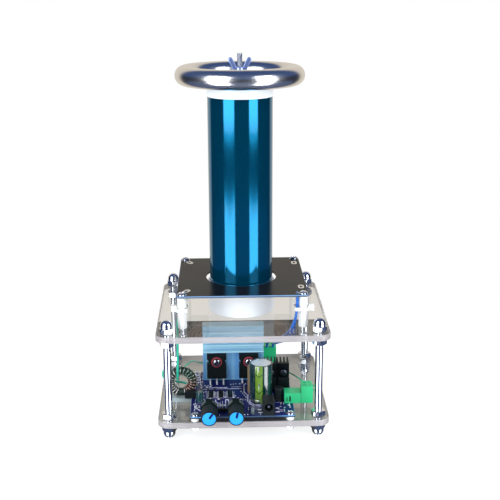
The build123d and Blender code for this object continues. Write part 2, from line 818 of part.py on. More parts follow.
def check_tube(solid, path, d, name):
    """Compare a tube's volume with its section times its length."""
    wanted = pi * d * d / 4 * path.length
    print(f"{name}: length {path.length:.1f}, volume over section times length "
          f"{solid.volume / wanted:.4f}")


def lead(points, d, name):
    """Tube along straight runs joined by tangent arcs as large as the runs allow."""
    spots = [Vector(*point) for point in points]
    radii = []
    for before, here, after in zip(spots, spots[1:], spots[2:]):
        first, second = here - before, after - here
        half = radians(first.get_angle(second)) / 2
        radii.append(0.45 * min(first.length, second.length) / tan(half))
    path = FilletPolyline(*spots, radius=radii)
    section = Plane(origin=path @ 0, z_dir=path % 0) * Circle(d / 2)
    tube = sweep(section, path=path)
    print(f"{name}: radii " + " ".join(f"{radius:.1f}" for radius in radii))
    check_tube(tube, path, d, name)
    return tube


def make_leads():
    post = board_screw_span / 2
    under = plate_high_top
    ring_route = [(2.8 - post, 5.4 - post, board_low), (2.8 - post, 5.4 - post, board_low - 7.5),
                  (-post - 1.0, 5.6 - post, board_low - 14.5),
                  (lead_hole_x, lead_hole_y, under + 3.5),
                  (lead_hole_x - 0.2, lead_hole_y, plate_high - 4.5)]
    beside_core = [(-1.7, -14.6, 27.9), (-2.1, -12.6, 13.9), (-2.7, -6.0, 4.4), (-3.3, 2.5, 0.9),
                   (-5.6, 9.5, 3.9), (-11.6, 10.4, 7.9), (-15.7, 8.0, 4.5), (-14.1, 6.4, -1.1),
                   (-8.1, 10.0, -4.1), (-0.1, 13.0, -6.7)]
    ring_route += [(core_x + x, core_y + y, core_z + z) for x, y, z in beside_core]
    ring_route += [(core_x + 6.9, core_y + 14.0, driver_top + 1.8),
                   (core_x + 12.4, core_y + 14.4, driver_top + 0.9)]
    save("ring_lead", lead(ring_route, ring_lead_d, "ring lead"))

    from_core = [(3.5, -0.4, 13.5), (6.3, 7.0, 13.5), (10.3, 19.0, 9.5)]
    sense_route = [(core_x + x, core_y + y, core_z + z) for x, y, z in from_core]
    behind_sink = [(-36.6, 4.6, 14.4), (-27.0, 8.0, 11.4), (-8.0, 7.4, 10.4), (10.0, 7.2, 9.8),
                   (24.0, 6.0, 9.0)]
    sense_route += [(x, sink_face + y, driver_top + z) for x, y, z in behind_sink]
    beside_board = [(-5.1, 40.6, 8.4), (1.3, 30.6, 9.0), (5.3, 20.6, 10.4), (9.3, 11.2, 10.4),
                    (15.9, 7.0, 9.4), (21.9, 4.6, 8.2), (22.1, 1.6, 7.2), (16.1, 1.54, 7.1)]
    sense_route += [(driver_right + x, side_plug_y + 1.0 + y, driver_top + z)
                    for x, y, z in beside_board]
    save("sense_lead", lead(sense_route, sense_lead_d, "sense lead"))

    low = driver_top + rear_header_high + plug_out
    half = pole_pitch / 2
    plug_y = rear_plug_y + 3.3
    left = [(rear_plug_x - half, plug_y, low), (rear_plug_x - half, plug_y, low + 4.2)]
    left += [(rear_plug_x + x, rear_plug_y + y, low + z) for x, y, z in
             ((0.2, -5.7, 9.2), (3.0, -16.2, 14.0), (5.2, -27.2, 19.0), (7.2, -38.2, 25.2))]
    left += [(post - 12.6, 12.0 - post, plate_high - 6.5), (post - 10.4, 1.6 - post, plate_high - 0.1),
             (post - 7.4, -0.9 - post, under + 2.0), (post - 4.5, -0.9 - post, board_low - 13.0),
             (post - 4.5, -0.9 - post, board_low)]
    right = [(rear_plug_x + half, plug_y, low), (rear_plug_x + half, plug_y, low + 3.4)]
    right += [(rear_plug_x + x, rear_plug_y + y, low + z) for x, y, z in
              ((4.0, -6.7, 7.2), (6.0, -17.2, 12.4), (8.0, -28.7, 17.6), (10.0, -39.7, 23.6))]
    right += [(post - 9.8, 11.5 - post, plate_high - 8.1), (post - 8.0, 2.8 - post, plate_high - 1.1),
              (post - 6.2, 1.4 - post, under + 1.5), (post - 4.6, 1.5 - post, board_low - 13.0),
              (post - 4.6, 1.5 - post, board_low)]
    tubes = [lead(left, coil_lead_d, "left coil lead"), lead(right, coil_lead_d, "right coil lead")]
    save("coil_leads", joined(tubes))


def tie(x0, x1, y0, y1, head_side):
    """Band round a standoff and its leads, with its head on one side."""
    z = plate_high_top + tie_above_plate
    t = tie_thick
    outer = Pos((x0 + x1) / 2, (y0 + y1) / 2, z)
    wide, deep = x1 - x0, y1 - y0
    band = extrude(RectangleRounded(wide + 2 * t, deep + 2 * t, 1.6), tie_high)
    band -= extrude(RectangleRounded(wide, deep, 0.6), tie_high)
    head = block(head_side * (wide / 2 + t + tie_head[0] / 2 - 0.3), 0, -0.8, *tie_head)
    return outer * (band + head)


def make_ties():
    half = board_screw_span / 2
    grip = standoff_across / 2 + tie_loose
    point = standoff_across / 3 ** 0.5 + tie_loose
    left = tie(-half - grip, -half + grip, -half - point, -half + 6.8, -1)
    right = tie(half - 5.8, half + grip, -half - point - 0.2, -half + point + 0.2, 1)
    save("cable_ties", joined([left, right]))


make_frame()
make_tower()
make_electrode()
save("board_screws", joined(make_primary_board() + make_driver_board()))
make_capacitors()
transistor_legs, sink_screws = make_power_stage()
chip_legs, header_pins = make_small_parts()
save("device_screws", joined(sink_screws + make_regulators()))
save("component_legs", joined(transistor_legs + chip_legs + make_controls()))
save("connector_pins", joined(header_pins + make_terminals()))
make_core()
make_leads()
make_ties()
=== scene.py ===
from math import cos, pi, radians, sin, sqrt, tan

import bmesh
import bpy
import numpy as np
from mathutils import Matrix, Vector
from mathutils.geometry import tessellate_polygon


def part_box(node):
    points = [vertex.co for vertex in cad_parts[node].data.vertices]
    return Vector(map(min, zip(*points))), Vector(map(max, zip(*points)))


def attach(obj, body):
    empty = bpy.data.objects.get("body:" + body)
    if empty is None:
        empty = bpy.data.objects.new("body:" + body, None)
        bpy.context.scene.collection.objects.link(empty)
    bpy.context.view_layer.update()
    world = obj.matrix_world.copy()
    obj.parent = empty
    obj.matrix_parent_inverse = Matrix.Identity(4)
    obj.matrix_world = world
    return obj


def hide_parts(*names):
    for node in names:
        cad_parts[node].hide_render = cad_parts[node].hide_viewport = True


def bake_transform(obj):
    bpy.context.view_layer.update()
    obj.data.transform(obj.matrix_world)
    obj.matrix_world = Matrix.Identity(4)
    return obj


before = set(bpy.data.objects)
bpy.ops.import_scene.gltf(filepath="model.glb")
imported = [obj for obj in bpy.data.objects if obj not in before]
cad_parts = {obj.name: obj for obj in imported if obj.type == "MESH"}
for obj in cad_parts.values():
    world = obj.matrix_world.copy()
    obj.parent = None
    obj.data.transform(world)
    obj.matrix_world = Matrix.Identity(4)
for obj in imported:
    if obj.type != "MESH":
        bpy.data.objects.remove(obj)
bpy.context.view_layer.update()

mm = 0.001  # settings and shapes are in millimetres, meshes in metres


def box(node):
    # lowest and highest corner of a CAD node, in millimetres
    low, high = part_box(node)
    return np.array((low, high)) / mm


def middle(node):
    return sum(box(node)) / 2


def size(node):
    low, high = box(node)
    return high - low


# camera: the photograph's own place and turn, with the lens from its focal length in pixels
cameraView = {"place": (-15.85, -692.43, 334.05), "yaw": 1.907, "pitch": 16.156, "roll": -0.211,
              "focalPixels": 904.3, "framePixels": 500, "sensor": 36.0}


def addCamera(view):
    yaw, pitch, roll = (radians(view[key]) for key in ("yaw", "pitch", "roll"))
    ahead = Vector((sin(yaw) * cos(pitch), cos(yaw) * cos(pitch), -sin(pitch)))
    side = Vector((cos(yaw), -sin(yaw), 0))
    up = side.cross(ahead)
    right = side * cos(roll) + up * sin(roll)
    above = up * cos(roll) - side * sin(roll)
    camera = bpy.data.objects.new("camera", bpy.data.cameras.new("camera"))
    camera.data.sensor_width = view["sensor"]
    camera.data.lens = view["sensor"] * view["focalPixels"] / view["framePixels"]
    turn = Matrix((right, above, -ahead)).transposed().to_4x4()
    camera.matrix_world = Matrix.Translation(Vector(view["place"]) * mm) @ turn
    bpy.context.scene.collection.objects.link(camera)
    bpy.context.scene.camera = camera


# shader arithmetic: a Signal is one socket, and Python's operators on it add Math nodes
class Signal:
    def __init__(self, sheet, socket):
        self.sheet = sheet
        self.socket = socket

    def math(self, operation, *values):
        return self.sheet.node("ShaderNodeMath", {"operation": operation}, dict(enumerate(values)))

    def ease(self, low, high):
        # 0 below low, 1 above high, smooth between
        return self.sheet.node("ShaderNodeMapRange", {"interpolation_type": "SMOOTHSTEP"},
                               {"Value": self, "From Min": low, "From Max": high})


def operator(operation, swapped=False):
    def apply(self, *other):
        return self.math(operation, *((*other, self) if swapped else (self, *other)))
    return apply


arithmetic = {"add": "ADD", "sub": "SUBTRACT", "mul": "MULTIPLY", "truediv": "DIVIDE"}
otherMath = {"pow": "POWER", "mod": "FLOORED_MODULO", "lt": "LESS_THAN", "gt": "GREATER_THAN",
             "and": "MINIMUM", "or": "MAXIMUM", "abs": "ABSOLUTE"}
for word, operation in {**arithmetic, **otherMath}.items():
    setattr(Signal, "__" + word + "__", operator(operation))
for word, operation in arithmetic.items():
    setattr(Signal, "__r" + word + "__", operator(operation, True))


class NodeSheet:
    def __init__(self, tree):
        self.tree = tree

    def node(self, kind, settings, values, output=0):
        # one node: its settings first, then the numbers or links of its sockets
        made = self.tree.nodes.new(kind)
        for key, value in settings.items():
            setattr(made, key, value)
        for key, value in values.items():
            if isinstance(value, Signal):
                self.tree.links.new(value.socket, made.inputs[key])
            else:
                made.inputs[key].default_value = value
        return Signal(self, made.outputs[output])

    def ramp(self, share, stops):
        # colour that runs through the stops as the share goes from 0 to 1
        made = self.node("ShaderNodeValToRGB", {}, {0: share})
        elements = made.socket.node.color_ramp.elements
        while len(elements) < len(stops):
            elements.new(0.5)
        for element, (place, color) in zip(elements, stops):
            element.position = place
            element.color = (*color, 1)
        return made

    def mix(self, share, first, second):
        # colour between two colours
        first, second = ((*c, 1) if isinstance(c, tuple) else c for c in (first, second))
        return self.node("ShaderNodeMix", {"data_type": "RGBA"}, {0: share, 6: first, 7: second}, 2)

    def rays(self, kind):
        return self.node("ShaderNodeLightPath", {}, {}, kind)

    def axes(self, source, count=3):
        point = self.node("ShaderNodeTexCoord", {}, {}, source)
        return [self.node("ShaderNodeSeparateXYZ", {}, {0: point}, axis) for axis in range(count)]

    def place(self):
        # the piece's own coordinates, in metres
        return self.axes("Object")

    def vector(self, x, y, z):
        return self.node("ShaderNodeCombineXYZ", {}, {0: x, 1: y, 2: z})

    def noise(self, scale, detail=3.0, vector=None):
        if vector is None:
            vector = self.node("ShaderNodeTexCoord", {}, {}, "Object")
        return self.node("ShaderNodeTexNoise", {}, {"Vector": vector, "Scale": scale, "Detail": detail})

    def streaks(self, x, y, z, detail=2.0):
        # noise drawn out along the axes that are scaled least
        return self.noise(1.0, detail, self.vector(x, y, z))


class Finish(NodeSheet):
    # one material: its Principled shader takes constants and signals by socket name
    def __init__(self, name, **sockets):
        self.material = bpy.data.materials.new(name)
        self.material.use_nodes = True
        super().__init__(self.material.node_tree)
        self.shader = self.tree.nodes["Principled BSDF"]
        self.set(**sockets)

    def set(self, **sockets):
        for key, value in sockets.items():
            label = "".join(" " + c.lower() if c.isupper() else c for c in key).title()
            socket = self.shader.inputs[label.replace("Ior", "IOR")]
            if isinstance(value, Signal):
                self.tree.links.new(value.socket, socket)
            elif isinstance(value, tuple) and len(value) == 3:
                socket.default_value = (*value, 1)
            else:
                socket.default_value = value
        return self

    def relief(self, height, distance):
        # bump from a height signal; distance is in millimetres
        return self.set(normal=self.node("ShaderNodeBump", {}, {
            "Height": height, "Distance": distance * mm, "Strength": 1.0}))


def clearAcrylic(name, haze, tint, sharpness=5.0, headOn=0.04):
    # mirror share that grows towards grazing angles, over a thin beige haze; the rest is see-through
    made = Finish(name, baseColor=tint, roughness=0.03)
    facing = made.node("ShaderNodeLayerWeight", {}, {"Blend": 0.5}, "Facing")
    mirror = headOn + (1 - headOn) * facing ** sharpness
    cover = mirror + haze * (1 - mirror)
    return made.set(alpha=cover, metallic=mirror / cover)


def acrylicEdge():
    # sawn edge with level streaks
    made = Finish("acrylicEdge", alpha=0.8, coatWeight=0.6, coatRoughness=0.05)
    x, y, z = made.place()
    level = made.streaks(x * 60.0, y * 60.0, z * 1800.0)
    color = made.mix(level, (0.30, 0.275, 0.285), (0.50, 0.47, 0.48))
    return made.set(baseColor=color, roughness=0.18 + 0.2 * level)


def metalFinish(name, color, rough, grain=90.0, spread=0.1, depth=0.004, metallic=1.0):
    # metal whose polish goes cloudy in places, over a fine skin
    made = Finish(name, metallic=metallic)
    fine = made.noise(grain, 4.0)
    dull = made.noise(grain * 9, 2.0)
    made.set(baseColor=made.mix(fine * 0.5, color, tuple(c * 0.86 for c in color)))
    made.set(roughness=rough + spread * (fine - 0.35))
    return made.relief(dull, depth)


def polishedRing():
    # turned sheet metal: faint circular polishing lines about the tall axis
    made = Finish("polishedRing", metallic=1.0, baseColor=(0.78, 0.765, 0.75))
    x, y, z = made.place()
    reach = (x * x + y * y) ** 0.5
    lines = made.streaks(reach * 2600.0, z * 2600.0, 0.0, 3.0)
    cloud = made.noise(26.0, 3.0)
    made.set(roughness=0.17 + 0.06 * lines + 0.05 * cloud)
    return made.relief(lines, 0.0012)


def windingEnamel(settings):
    # varnished enamelled wire: blue metal under a clear coat, each turn with its own shade
    made = Finish("windingEnamel", metallic=0.85, coatWeight=0.2, coatRoughness=0.03)
    x, y, z = made.place()
    turn = z * (1 / (settings["pitch"] * mm))
    layer = made.streaks(0.0, 0.0, turn * 0.37)
    cloud = made.noise(18.0, 2.0)
    shade = made.mix(layer * 0.6 + cloud * 0.3, settings["deep"], settings["bright"])
    made.set(baseColor=shade, roughness=0.07 + 0.06 * layer)
    return made.relief(abs((turn % 1.0) - 0.5), settings["relief"])


def plastic(name, dark, light, rough, grain=240.0, depth=0.01, coat=0.0, mirror=0.5):
    # moulded plastic with a fine spark-eroded skin
    made = Finish(name, coatWeight=coat, coatRoughness=0.08, specularIorLevel=mirror)
    cloud = made.noise(grain * 0.12)
    skin = made.noise(grain * 10, 2.0)
    made.set(baseColor=made.mix(cloud, dark, light), roughness=rough + 0.12 * (skin - 0.5))
    return made.relief(skin, depth)


def boardMask(name, deep, bright, rough, coat, mirror, tracks=False):
    # solder mask over copper: slightly raised, slightly brighter tracks between narrow gaps
    made = Finish(name, coatWeight=coat, coatRoughness=0.08, specularIorLevel=mirror)
    x, y, z = made.place()
    if tracks:
        cells = made.node("ShaderNodeTexVoronoi", {"distance": "MANHATTAN", "feature": "F1"},
                          {"Vector": made.vector(x * 150.0, y * 150.0, 0.0), "Scale": 1.0})
        lane = abs(((x + y * 0.5) * 420.0 % 1.0) - 0.5)
        copper = cells.ease(0.30, 0.36) & lane.ease(0.18, 0.24)
    else:
        copper = made.noise(30.0, 2.0).ease(0.2, 0.9)
    cloud = made.noise(55.0)
    made.set(baseColor=made.mix(copper * 0.75 + cloud * 0.2, deep, bright), roughness=rough + 0.1 * cloud)
    return made.relief(copper, 0.03)


def seatShadedWhite(name):
    # white plastic, with painted shade in a band just under the winding's end
    made = plastic(name, *white, 0.35)
    x, y, z = made.place()
    seat = box("coil_base_collar")[1][2]
    # painted shade: a dark band where the winding's end sits
    seatShade = z.ease((seat - 1.58) * mm, (seat - 1.5) * mm) & (z < (seat + 2.0) * mm)
    return made.set(baseColor=made.mix(seatShade, (0.88, 0.91, 0.95), (0.004, 0.05, 0.09)))


def tinLegs():
    # tinned legs, with painted shade where they run under the knobs
    made = metalFinish("tinLegs", (0.90, 0.92, 0.95), 0.3, grain=500.0, spread=0.2, metallic=0.25)
    x, y, z = made.place()
    # painted shade: the legs turn dark towards the knobs
    inLight = y.ease(-50.0 * mm, -44.0 * mm)
    return made.set(baseColor=made.mix(inLight, (0.07, 0.09, 0.10), (0.88, 0.90, 0.94)))


def washerFibre():
    # pressed fibre: red at the rim, painted dark towards each screw as the dark reflection of a wider screw
    # head
    made = Finish("washerFibre", specularIorLevel=0.3)
    x, y, z = made.place()
    a, b = box("insulating_washers") * mm
    r = (b[2] - a[2]) / 2
    across = abs(abs(x - (a[0] + b[0]) / 2) - ((b[0] - a[0]) / 2 - r))
    reach = (across * across + (z - (a[2] + b[2]) / 2) ** 2.0) ** 0.5
    fibre = made.noise(700.0)
    # painted reflection: dark inside the rim, red at the rim
    rimAndPaintedDark = made.mix(reach.ease(r * 0.72, r * 0.88), (0.02, 0.004, 0.006), (0.34, 0.045, 0.06))
    return made.set(baseColor=rimAndPaintedDark, roughness=0.45 + 0.2 * fibre)


def litRimBoardEdge(name, top, line, under, ends=None):
    # sawn board edge: a painted highlight along its upper rim, painted shade on the core below
    made = Finish(name, coatWeight=0.3, coatRoughness=0.1)
    x, y, z = made.place()
    fibres = made.streaks(x * 900.0, y * 900.0, z * 300.0)
    # painted highlight on the upper rim; below it the painted shade
    rim = z.ease((top - 0.75) * mm, (top - 0.55) * mm)
    # painted shade dims the rim's highlight in the middle
    if ends:
        centre, dim, lit = (value * mm for value in ends)
        rim = rim * (0.25 + 0.75 * abs(x - centre).ease(dim, lit))
    made.set(baseColor=made.mix(rim, under, line), roughness=0.4 + 0.2 * fibres)
    return made.relief(fibres, 0.02)


def capacitorSleeve(s):
    # dark shrunk sleeve with a lime stripe of chevrons on one side
    made = Finish("capacitorSleeve", coatWeight=1.0, coatRoughness=0.07, coatIor=2.1)
    x, y, z = made.place()
    cx, cy = (value * mm for value in s["middle"])
    angle = made.node("ShaderNodeMath", {"operation": "ARCTAN2"}, {0: x - cx, 1: cy - y})
    off = angle - radians(s["stripeTurn"])
    half = radians(s["stripeWide"] / 2)
    level = (z * (1 / mm) - s["low"]) / s["chevronPitch"]
    point = abs(off) * (s["chevronSlope"] / half)
    line = abs(((level - point) % 1.0) - 0.5) < s["chevronThick"]
    bar = (abs(off) < s["barWide"]) & (abs((level + 0.5) % 1.0 - 0.5) < s["barLong"])
    border = abs(off) > half * s["border"]
    paint = made.mix(line | bar | border, s["lime"], s["ink"])
    cloud = made.noise(90.0, 2.0)
    sleeve = made.mix(cloud, s["sleeve"], s["sleeveLight"])
    return made.set(baseColor=made.mix(abs(off) < half, sleeve, paint), roughness=0.16 + 0.08 * cloud)


def coreEnamel():
    # enamelled turns: dark wire whose varnish goes from green to red-brown round the core
    made = Finish("coreEnamel", metallic=0.7, coatWeight=1.0, coatRoughness=0.06, coatIor=2.2)
    u, v = made.axes("UV", 2)
    ramp = made.ramp(u, [(0.0, (0.36, 0.33, 0.30)), (0.10, (0.42, 0.14, 0.09)), (0.24, (0.30, 0.12, 0.08)),
                         (0.36, (0.03, 0.24, 0.13)), (0.5, (0.10, 0.20, 0.13)), (0.68, (0.40, 0.38, 0.34)),
                         (1.0, (0.44, 0.42, 0.38))])
    speck = made.noise(400.0, 2.0)
    color = made.mix(speck * 0.4, ramp, (0.22, 0.2, 0.18))
    return made.set(baseColor=color, roughness=0.2 + 0.15 * speck)


def wireFinish(name, dark, light):
    # extruded insulation: faint streaks along the wire
    made = Finish(name, coatWeight=0.3, coatRoughness=0.12)
    u, v = made.axes("UV", 2)
    streak = made.streaks(u * 3.0, v * 14.0, 0.0)
    made.set(baseColor=made.mix(streak, dark, light), roughness=0.28 + 0.12 * streak)
    return made.relief(streak, 0.02)


def anodised(name, deep, bright, along, metal, mirror, litFrom=None):
    # extruded and anodised: fine drawing lines along one axis, painted reflection bands across it, and
    # painted light above a height
    made = Finish(name, metallic=metal, specularIorLevel=mirror)
    x, y, z = made.place()
    fine = made.streaks(*(c * (30.0 if i == along else 5200.0) for i, c in enumerate((x, y, z))))
    # painted reflection: soft upright bands of the lighter colour
    reflectionBands = made.streaks(x * 170.0, y * 30.0, z * 6.0, 1.0).ease(0.35, 0.65)
    shade = made.mix(fine * 0.4 + reflectionBands * 0.6, deep, bright)
    if litFrom:
        # painted light: lighter above the height, for the lit upper ribs
        litTop = z.ease((litFrom - 0.2) * mm, (litFrom + 0.2) * mm)
        shade = made.mix(litTop, shade, made.mix(fine, (0.26, 0.54, 0.72), (0.50, 0.76, 0.88)))
    made.set(baseColor=shade, roughness=0.3 + 0.14 * fine)
    return made.relief(fine, 0.006)


# finishes: plastics have a dark and a light tone and a roughness, metals a colour and a roughness
winding = {"pitch": 0.48, "wave": 0.015, "relief": 0.004, "deep": (0.0, 0.115, 0.25),
           "bright": (0.0, 0.18, 0.34), "inner": 24.63, "turns": 140, "rows": 2}
canMarks = {"middle": (14.4, -36.4), "low": 22.1, "stripeTurn": -14.0, "stripeWide": 44.0,
            "chevronPitch": 14.0, "chevronSlope": 0.22, "chevronThick": 0.028, "barWide": 0.07,
            "barLong": 0.09, "border": 0.86, "lime": (0.13, 0.25, 0.025), "ink": (0.008, 0.04, 0.012),
            "sleeve": (0.0, 0.015, 0.013), "sleeveLight": (0.001, 0.034, 0.028)}
white = ((0.84, 0.88, 0.92), (0.90, 0.93, 0.96))
plastics = {
    "dullBlack": ((0.003, 0.009, 0.009), (0.008, 0.016, 0.016), 0.8, {"mirror": 0.06}),
    "smallSleeve": ((0.004, 0.03, 0.04), (0.012, 0.07, 0.08), 0.16, {"coat": 0.8}),
    "capWhite": (*white, 0.35, {}),
    "nylonWhite": ((0.72, 0.73, 0.72), (0.84, 0.84, 0.82), 0.4, {}),
    "blackMould": ((0.003, 0.006, 0.007), (0.010, 0.014, 0.016), 0.45, {"mirror": 0.25}),
    "blackEpoxy": ((0.003, 0.006, 0.007), (0.008, 0.013, 0.014), 0.36, {"mirror": 0.3}),
    "filmCase": ((0.14, 0.10, 0.05), (0.26, 0.19, 0.11), 0.4, {}),
    "resistorGlaze": ((0.02, 0.02, 0.022), (0.05, 0.05, 0.055), 0.3, {}),
    "knobBlack": ((0.002, 0.007, 0.009), (0.006, 0.013, 0.016), 0.45, {"mirror": 0.25}),
    "knobBlue": ((0.0, 0.27, 0.78), (0.001, 0.32, 0.88), 0.45, {}),
    "pointerInk": ((0.001, 0.006, 0.07), (0.002, 0.010, 0.09), 0.6, {"mirror": 0.1}),
    "terminalGreen": ((0.016, 0.44, 0.16), (0.03, 0.55, 0.22), 0.38, {"coat": 0.15}),
    "ferriteGreen": ((0.003, 0.010, 0.008), (0.006, 0.03, 0.02), 0.5, {}),
    "padFoam": ((0.30, 0.37, 0.39), (0.42, 0.50, 0.52), 0.6, {"depth": 0.05}),
}
metals = {
    "chrome": ((0.84, 0.85, 0.88), 0.07, {"spread": 0.05}),
    "zincSteel": ((0.74, 0.75, 0.78), 0.22, {}),
    "wingZinc": ((0.32, 0.42, 0.80), 0.16, {"metallic": 0.72}),
    "tin": ((0.90, 0.92, 0.95), 0.3, {"grain": 500.0, "spread": 0.2, "metallic": 0.25}),
    "glossSteel": ((0.42, 0.42, 0.45), 0.06, {"spread": 0.05}),
    "darkSteel": ((0.10, 0.11, 0.13), 0.3, {}),
    "copperTrack": ((0.72, 0.40, 0.24), 0.3, {}),
    "brightAluminium": ((0.84, 0.90, 0.94), 0.3, {"grain": 300.0, "metallic": 0.45}),
    "solder": ((0.80, 0.81, 0.83), 0.2, {"grain": 500.0, "spread": 0.2, "depth": 0.01}),
    "goldPad": ((0.86, 0.70, 0.38), 0.28, {"grain": 300.0}),
}
wires = {"tealWire": ((0.004, 0.40, 0.26), (0.012, 0.52, 0.36)),
         "greenWire": ((0.015, 0.34, 0.18), (0.035, 0.46, 0.27)),
         "blueWire": ((0.003, 0.085, 0.42), (0.008, 0.15, 0.60))}
# painted light: the heat sink is lighter above the foot of its lowest rib
ribFoot = box("heat_sink")[1][2] - 23.5
finishes = {
    "plateTop": clearAcrylic("plateTop", 0.05, (0.72, 0.71, 0.68)),
    "plateLow": clearAcrylic("plateLow", 0.07, (0.70, 0.70, 0.68), 3.4),
    "acrylicEdge": acrylicEdge(),
    "tinLegs": tinLegs(),
    "polishedRing": polishedRing(),
    "windingEnamel": windingEnamel(winding),
    "collarWhite": seatShadedWhite("collarWhite"),
    "formTube": seatShadedWhite("formTube"),
    "blackMask": boardMask("blackMask", (0.006, 0.007, 0.008), (0.012, 0.013, 0.014), 0.2, 0.0, 0.09),
    "litRimBoardEdge": litRimBoardEdge("litRimBoardEdge", 112.1, (0.14, 0.26, 0.46), (0.05, 0.08, 0.14)),
    "violetMask": boardMask("violetMask", (0.003, 0.005, 0.062), (0.010, 0.016, 0.16), 0.3, 0.06, 0.3, True),
    "litEdge": litRimBoardEdge("litEdge", 20.6, (0.10, 0.32, 0.66), (0.004, 0.008, 0.02), (-0.9, 24.0, 37.0)),
    "blueAnodised": anodised("blueAnodised", (0.10, 0.36, 0.86), (0.38, 0.78, 1.0), 0, 0.12, 0.5, ribFoot),
    "blackAnodised": anodised("blackAnodised", (0.002, 0.003, 0.005), (0.006, 0.008, 0.010), 2, 0.0, 0.15),
    "redFibre": washerFibre(),
    "capacitorSleeve": capacitorSleeve(canMarks),
    "clearLens": Finish("clearLens", baseColor=(0.22, 0.34, 0.38), roughness=0.08,
                        transmissionWeight=0.75, coatWeight=0.5),
    "coreEnamel": coreEnamel(),
    "markLines": Finish("markLines", baseColor=(0.78, 0.78, 0.98), roughness=0.5),
}
for name, (dark, light, rough, more) in plastics.items():
    finishes[name] = plastic(name, dark, light, rough, **more)
for name, (color, rough, more) in metals.items():
    finishes[name] = metalFinish(name, color, rough, **more)
for name, (dark, light) in wires.items():
    finishes[name] = wireFinish(name, dark, light)
print("finishes:", len(finishes))


# meshes: a shape is made of grids of points, each a function of two parameters
def gridFaces(rows, columns, wrapRows, first=0):
    # quads between the rows, each row closing on itself
    i = np.arange(rows if wrapRows else rows - 1)
    i, j = (part.ravel() for part in np.meshgrid(i, np.arange(columns), indexing="ij"))
    k, m = (i + 1) % rows, (j + 1) % columns
    corners = [i * columns + j, i * columns + m, k * columns + m, k * columns + j]
    return (first + np.stack(corners, 1)).tolist()


def gridPart(points, wrapRows=False):
    # a part is its points, faces, material slots and the two parameters at each point
    rows, columns = points.shape[:2]
    faces = gridFaces(rows, columns, wrapRows)
    shares = np.meshgrid(np.arange(rows) / max(rows - 1, 1), np.arange(columns) / columns, indexing="ij")
    return points.reshape(-1, 3), faces, [0] * len(faces), np.stack(shares, 2).reshape(-1, 2)


def moved(part, change):
    return change(part[0]), *part[1:]


def lathe(profile, turns=64, start=0.0):
    # each (radius, height) of the profile goes round +Z; angle and profile are the two parameters
    profile = np.asarray(profile, float)
    angle = start + np.arange(turns) * 2 * pi / turns
    x = profile[:, :1] * np.cos(angle)
    y = profile[:, :1] * np.sin(angle)
    z = np.repeat(profile[:, 1:2], turns, 1)
    return np.stack([x, y, z], 2)


def rounded(rows, steps=4, closed=False):
    # polyline of (x, y, corner radius) whose corners are arcs tangent to both sides
    points = [np.array(row[:2], float) for row in rows]
    count = len(points)
    out = []
    for index, point in enumerate(points):
        radius = rows[index][2]
        if radius == 0 or (not closed and index in (0, count - 1)):
            out.append(point)
            continue
        before = points[index - 1] - point
        after = points[(index + 1) % count] - point
        before, after = before / np.linalg.norm(before), after / np.linalg.norm(after)
        half = np.arccos(np.clip(before @ after, -1, 1)) / 2
        reach = radius / tan(half)
        center = (before + after) / np.linalg.norm(before + after) * radius / sin(half) + point
        first, last = point + before * reach - center, point + after * reach - center
        total = pi - 2 * half
        for share in np.arange(steps + 1) / steps:
            out.append(center + (sin((1 - share) * total) * first + sin(share * total) * last)
                       / sin(total))
    return np.array(out)


def turned(points, place=(0, 0, 0), axis=(0, 0, 1), spin=0.0):
    # points stood on +Z are turned to the axis and moved to the place
    turn = Vector((0, 0, 1)).rotation_difference(Vector(axis)).to_matrix()
    turn = np.array(turn @ Matrix.Rotation(radians(spin), 3, "Z"))
    return points @ turn.T + np.asarray(place, float)


def lathed(profile, turns, place=(0, 0, 0), axis=(0, 0, 1), closed=False):
    # a closed profile joins its own ends; an open one starts and ends on the axis
    return gridPart(turned(lathe(profile, turns), place, axis), closed)


def standing(points, place=(0, 0, 0)):
    # a shape drawn in plan is stood up to face -Y
    return np.stack([points[..., 0], -points[..., 2], points[..., 1]], -1) + np.asarray(place, float)


def roundLoop(wide, deep, corner, x=0.0, y=0.0, steps=5):
    # rounded rectangle, counter-clockwise
    a, b = wide / 2, deep / 2
    radius = min(corner, a * 0.999, b * 0.999)
    return rounded([(a, -b, radius), (a, b, radius), (-a, b, radius), (-a, -b, radius)], steps, True) + (x, y)


def circleLoop(x, y, d, count=40):
    angle = np.arange(count) * 2 * pi / count
    return np.stack([x + d / 2 * np.cos(angle), y + d / 2 * np.sin(angle)], 1)


def stacked(loops, heights):
    # loops of equal count on rising heights, closed at both ends by their own middles
    rings = [np.column_stack([loop, np.full(len(loop), z)]) for loop, z in zip(loops, heights)]
    low, high = (np.repeat(ring.mean(0)[None], len(ring), 0) for ring in (rings[0], rings[-1]))
    return np.array([low, *rings, high])


def softBlock(wide, deep, high, corner, edge, x=0.0, y=0.0, z=0.0, steps=3):
    # block with rounded upright corners and rounded top and bottom edges
    turns = [radians(90 * s / steps) for s in range(steps + 1)]
    insets = [edge * (1 - sin(t)) for t in turns] + [edge * (1 - cos(t)) for t in turns]
    levels = [z + edge * (1 - cos(t)) for t in turns] + [z + high - edge * (1 - sin(t)) for t in turns]
    loops = [roundLoop(wide - 2 * i, deep - 2 * i, max(corner - i, 0.02), x, y) for i in insets]
    return stacked(loops, levels)


